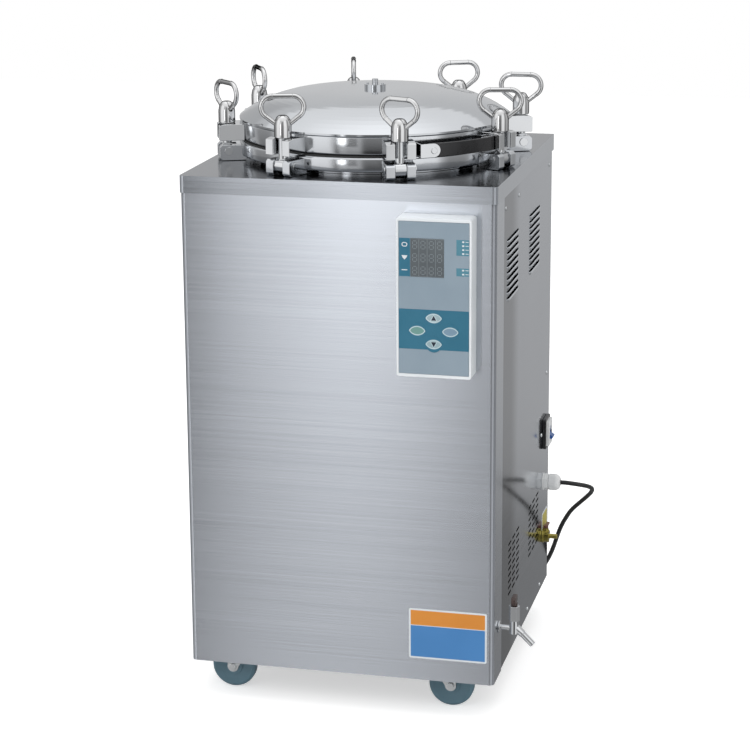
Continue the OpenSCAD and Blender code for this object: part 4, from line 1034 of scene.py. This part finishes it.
studio = {
    "floorSize": 14,
    "floorColour": (0.86, 0.86, 0.86),
    "floorRoughness": 0.9,
    "floorShine": 0.1,
    "floorGlow": 0.5,
    "white": (1, 1, 1, 1),
    "worldFill": 0.7,
    # light that metal sees, by elevation in degrees, before the boxes below are added
    "reflected": [(-90, 0.44), (-32, 0.42), (-19, 0.38), (-17, 0.49), (-2, 0.62), (8, 0.68), (36.2, 0.74),
                  (37.2, 1.02), (55, 1.12), (75, 1.45), (90, 1.5)],
    "reflectedTint": (0.985, 0.99, 1, 1),
    "leastReflected": 0.03,
    # boxes that metal sees: azimuth from the front towards the right and elevation, each as
    # middle and half size in degrees, then soft edge and level; a negative level is a dark one
    "boxes": {
        "column": (-14.3, 2.7, 4, 10.5, 1.2, 2.0),
        "columnCore": (-13.8, 0.4, 2, 11, 1.8, 1.1),
        "columnFoot": (-14.2, 2.4, -30, 20, 1.6, 0.1),
        "columnLeft": (-19.4, 0.9, -4, 20, 0.6, -0.35),
        "columnRight": (-6.0, 4.3, 1, 11, 0.8, -0.3),
        "cameraSide": (14, 9, -4, 26, 5, -0.38),
        "leftLamp": (-46, 20, -8, 42, 5, 0.5),
        "rightLamp": (50, 16, -8, 42, 5, 0.5),
        "leftDark": (-96, 8, 0, 34, 8, -0.26),
        "leftEdge": (-140, 12, 0, 26, 6, -0.14),
        "rightDark": (86, 8, 0, 34, 8, -0.26),
        "rightEdge": (136, 12, 0, 26, 6, -0.14),
        "backWall": (172, 20, -8, 9, 1.2, -0.05),
        "backFloor": (172, 20, -46, 27.5, 1.2, -0.17),
    },
    # place in millimetres from the cabinet's middle, size in metres, power in watts
    "lamps": {
        "keyLamp": ((-2600, -3400, 3400), 2.6, 55),
        "fillLamp": ((3600, -2200, 2200), 2.4, 18),
        "backLamp": ((1200, 3200, 3000), 2.2, 20),
        "topLamp": ((0, -200, 4200), 3.0, 30),
    },
    "aim": (0, 0, 500),
}


def makeFloor(s):
    half = s["floorSize"] / 2
    mesh = bpy.data.meshes.new("studioFloor")
    mesh.from_pydata([(x, y, 0) for x, y in rectangle(-half, half, -half, half)], [], [(0, 1, 2, 3)])
    obj = addObject("studioFloor", mesh)
    material = bpy.data.materials.new("floorPaint")
    material.use_nodes = True
    tree = material.node_tree
    rays = tree.nodes.new("ShaderNodeLightPath").outputs
    feed(tree, tree.nodes["Principled BSDF"], {
        "Base Color": (*s["floorColour"], 1), "Roughness": s["floorRoughness"],
        "Specular IOR Level": s["floorShine"], "Emission Color": s["white"],
        "Emission Strength": mathNode(tree, "MULTIPLY", rays["Is Camera Ray"], s["floorGlow"]),
    })
    mesh.materials.append(material)
    # metal sees the world's lower half instead of the floor
    obj.visible_glossy = False


def rampNode(tree, value, stops):
    # a grey ramp over values from the first stop to the last
    low, high = stops[0][0], stops[-1][0]
    ramp = addNode(tree, "ValToRGB", {"Fac": rangeNode(tree, value, (low, high))})
    elements = ramp.color_ramp.elements
    for at, _ in stops[1:-1]:
        elements.new((at - low) / (high - low))
    for element, (_, level) in zip(elements, stops):
        element.color = (level, level, level, 1)
    return ramp.outputs["Color"]


boxInputs = ("AtAzimuth", "HalfAzimuth", "AtElevation", "HalfElevation", "Soft", "Level")


def softboxGroup():
    # level inside a soft-edged rectangle of the sky, nothing outside it
    group, start, end = groupShell("softbox", ("Azimuth", "Elevation") + boxInputs, ["Light"])
    level = start["Level"]
    for axis in ("Azimuth", "Elevation"):
        away = mathNode(group, "SUBTRACT", start[axis], start["At" + axis])
        if axis == "Azimuth":
            away = mathNode(group, "WRAP", away, 180, -180)
        half = start["Half" + axis]
        edge = rangeNode(group, mathNode(group, "ABSOLUTE", away),
                         (mathNode(group, "ADD", half, start["Soft"]), half), smooth=True)
        level = mathNode(group, "MULTIPLY", level, edge)
    feed(group, end, {"Light": level})
    return group


def makeWorld(s):
    softbox = softboxGroup()
    world = bpy.data.worlds.new("studioRoom")
    bpy.context.scene.world = world
    world.use_nodes = True
    tree = world.node_tree
    tree.nodes.clear()
    coord = tree.nodes.new("ShaderNodeTexCoord")
    ray = addNode(tree, "SeparateXYZ", {0: coord.outputs["Generated"]}).outputs
    forward = mathNode(tree, "MULTIPLY", ray["Y"], -1)
    azimuth = mathNode(tree, "DEGREES", mathNode(tree, "ARCTAN2", ray["X"], forward))
    elevation = mathNode(tree, "DEGREES", mathNode(tree, "ARCSINE", ray["Z"]))
    light = rampNode(tree, elevation, s["reflected"])
    for name, values in s["boxes"].items():
        box = tree.nodes.new("ShaderNodeGroup")
        box.node_tree = softbox
        box.name = name
        feed(tree, box, {"Azimuth": azimuth, "Elevation": elevation, **dict(zip(boxInputs, values))})
        light = mathNode(tree, "ADD", light, box.outputs["Light"])
    light = mathNode(tree, "MAXIMUM", light, s["leastReflected"])
    reflected = addNode(tree, "Background", {"Color": s["reflectedTint"], "Strength": light})
    backdrop = addNode(tree, "Background", {"Color": s["white"]})
    fill = addNode(tree, "Background", {"Color": s["white"], "Strength": s["worldFill"]})
    # what each kind of ray sees: metal the boxes, the camera plain white, all else the fill
    rays = tree.nodes.new("ShaderNodeLightPath").outputs
    metal = addNode(tree, "MixShader", {0: rays["Is Glossy Ray"], 1: fill.outputs[0], 2: reflected.outputs[0]})
    clear = mathNode(tree, "ADD", rays["Is Camera Ray"], rays["Is Transmission Ray"])
    seen = addNode(tree, "MixShader", {0: clear, 1: metal.outputs[0], 2: backdrop.outputs[0]})
    addNode(tree, "OutputWorld", {"Surface": seen.outputs[0]})


def makeLamps(s):
    aim = place(*s["aim"])
    for name, (at, size, power) in s["lamps"].items():
        data = bpy.data.lights.new(name, "AREA")
        data.size = size
        data.energy = power
        obj = addObject(name, data)
        obj.location = place(*at)
        # what metal shows comes from the world alone
        obj.visible_glossy = False
        obj.rotation_euler = (aim - obj.location).to_track_quat("-Z", "Y").to_euler()


makeFloor(studio)
makeWorld(studio)
makeLamps(studio)
bpy.context.scene.view_settings.view_transform = "Standard"
print("studio made")
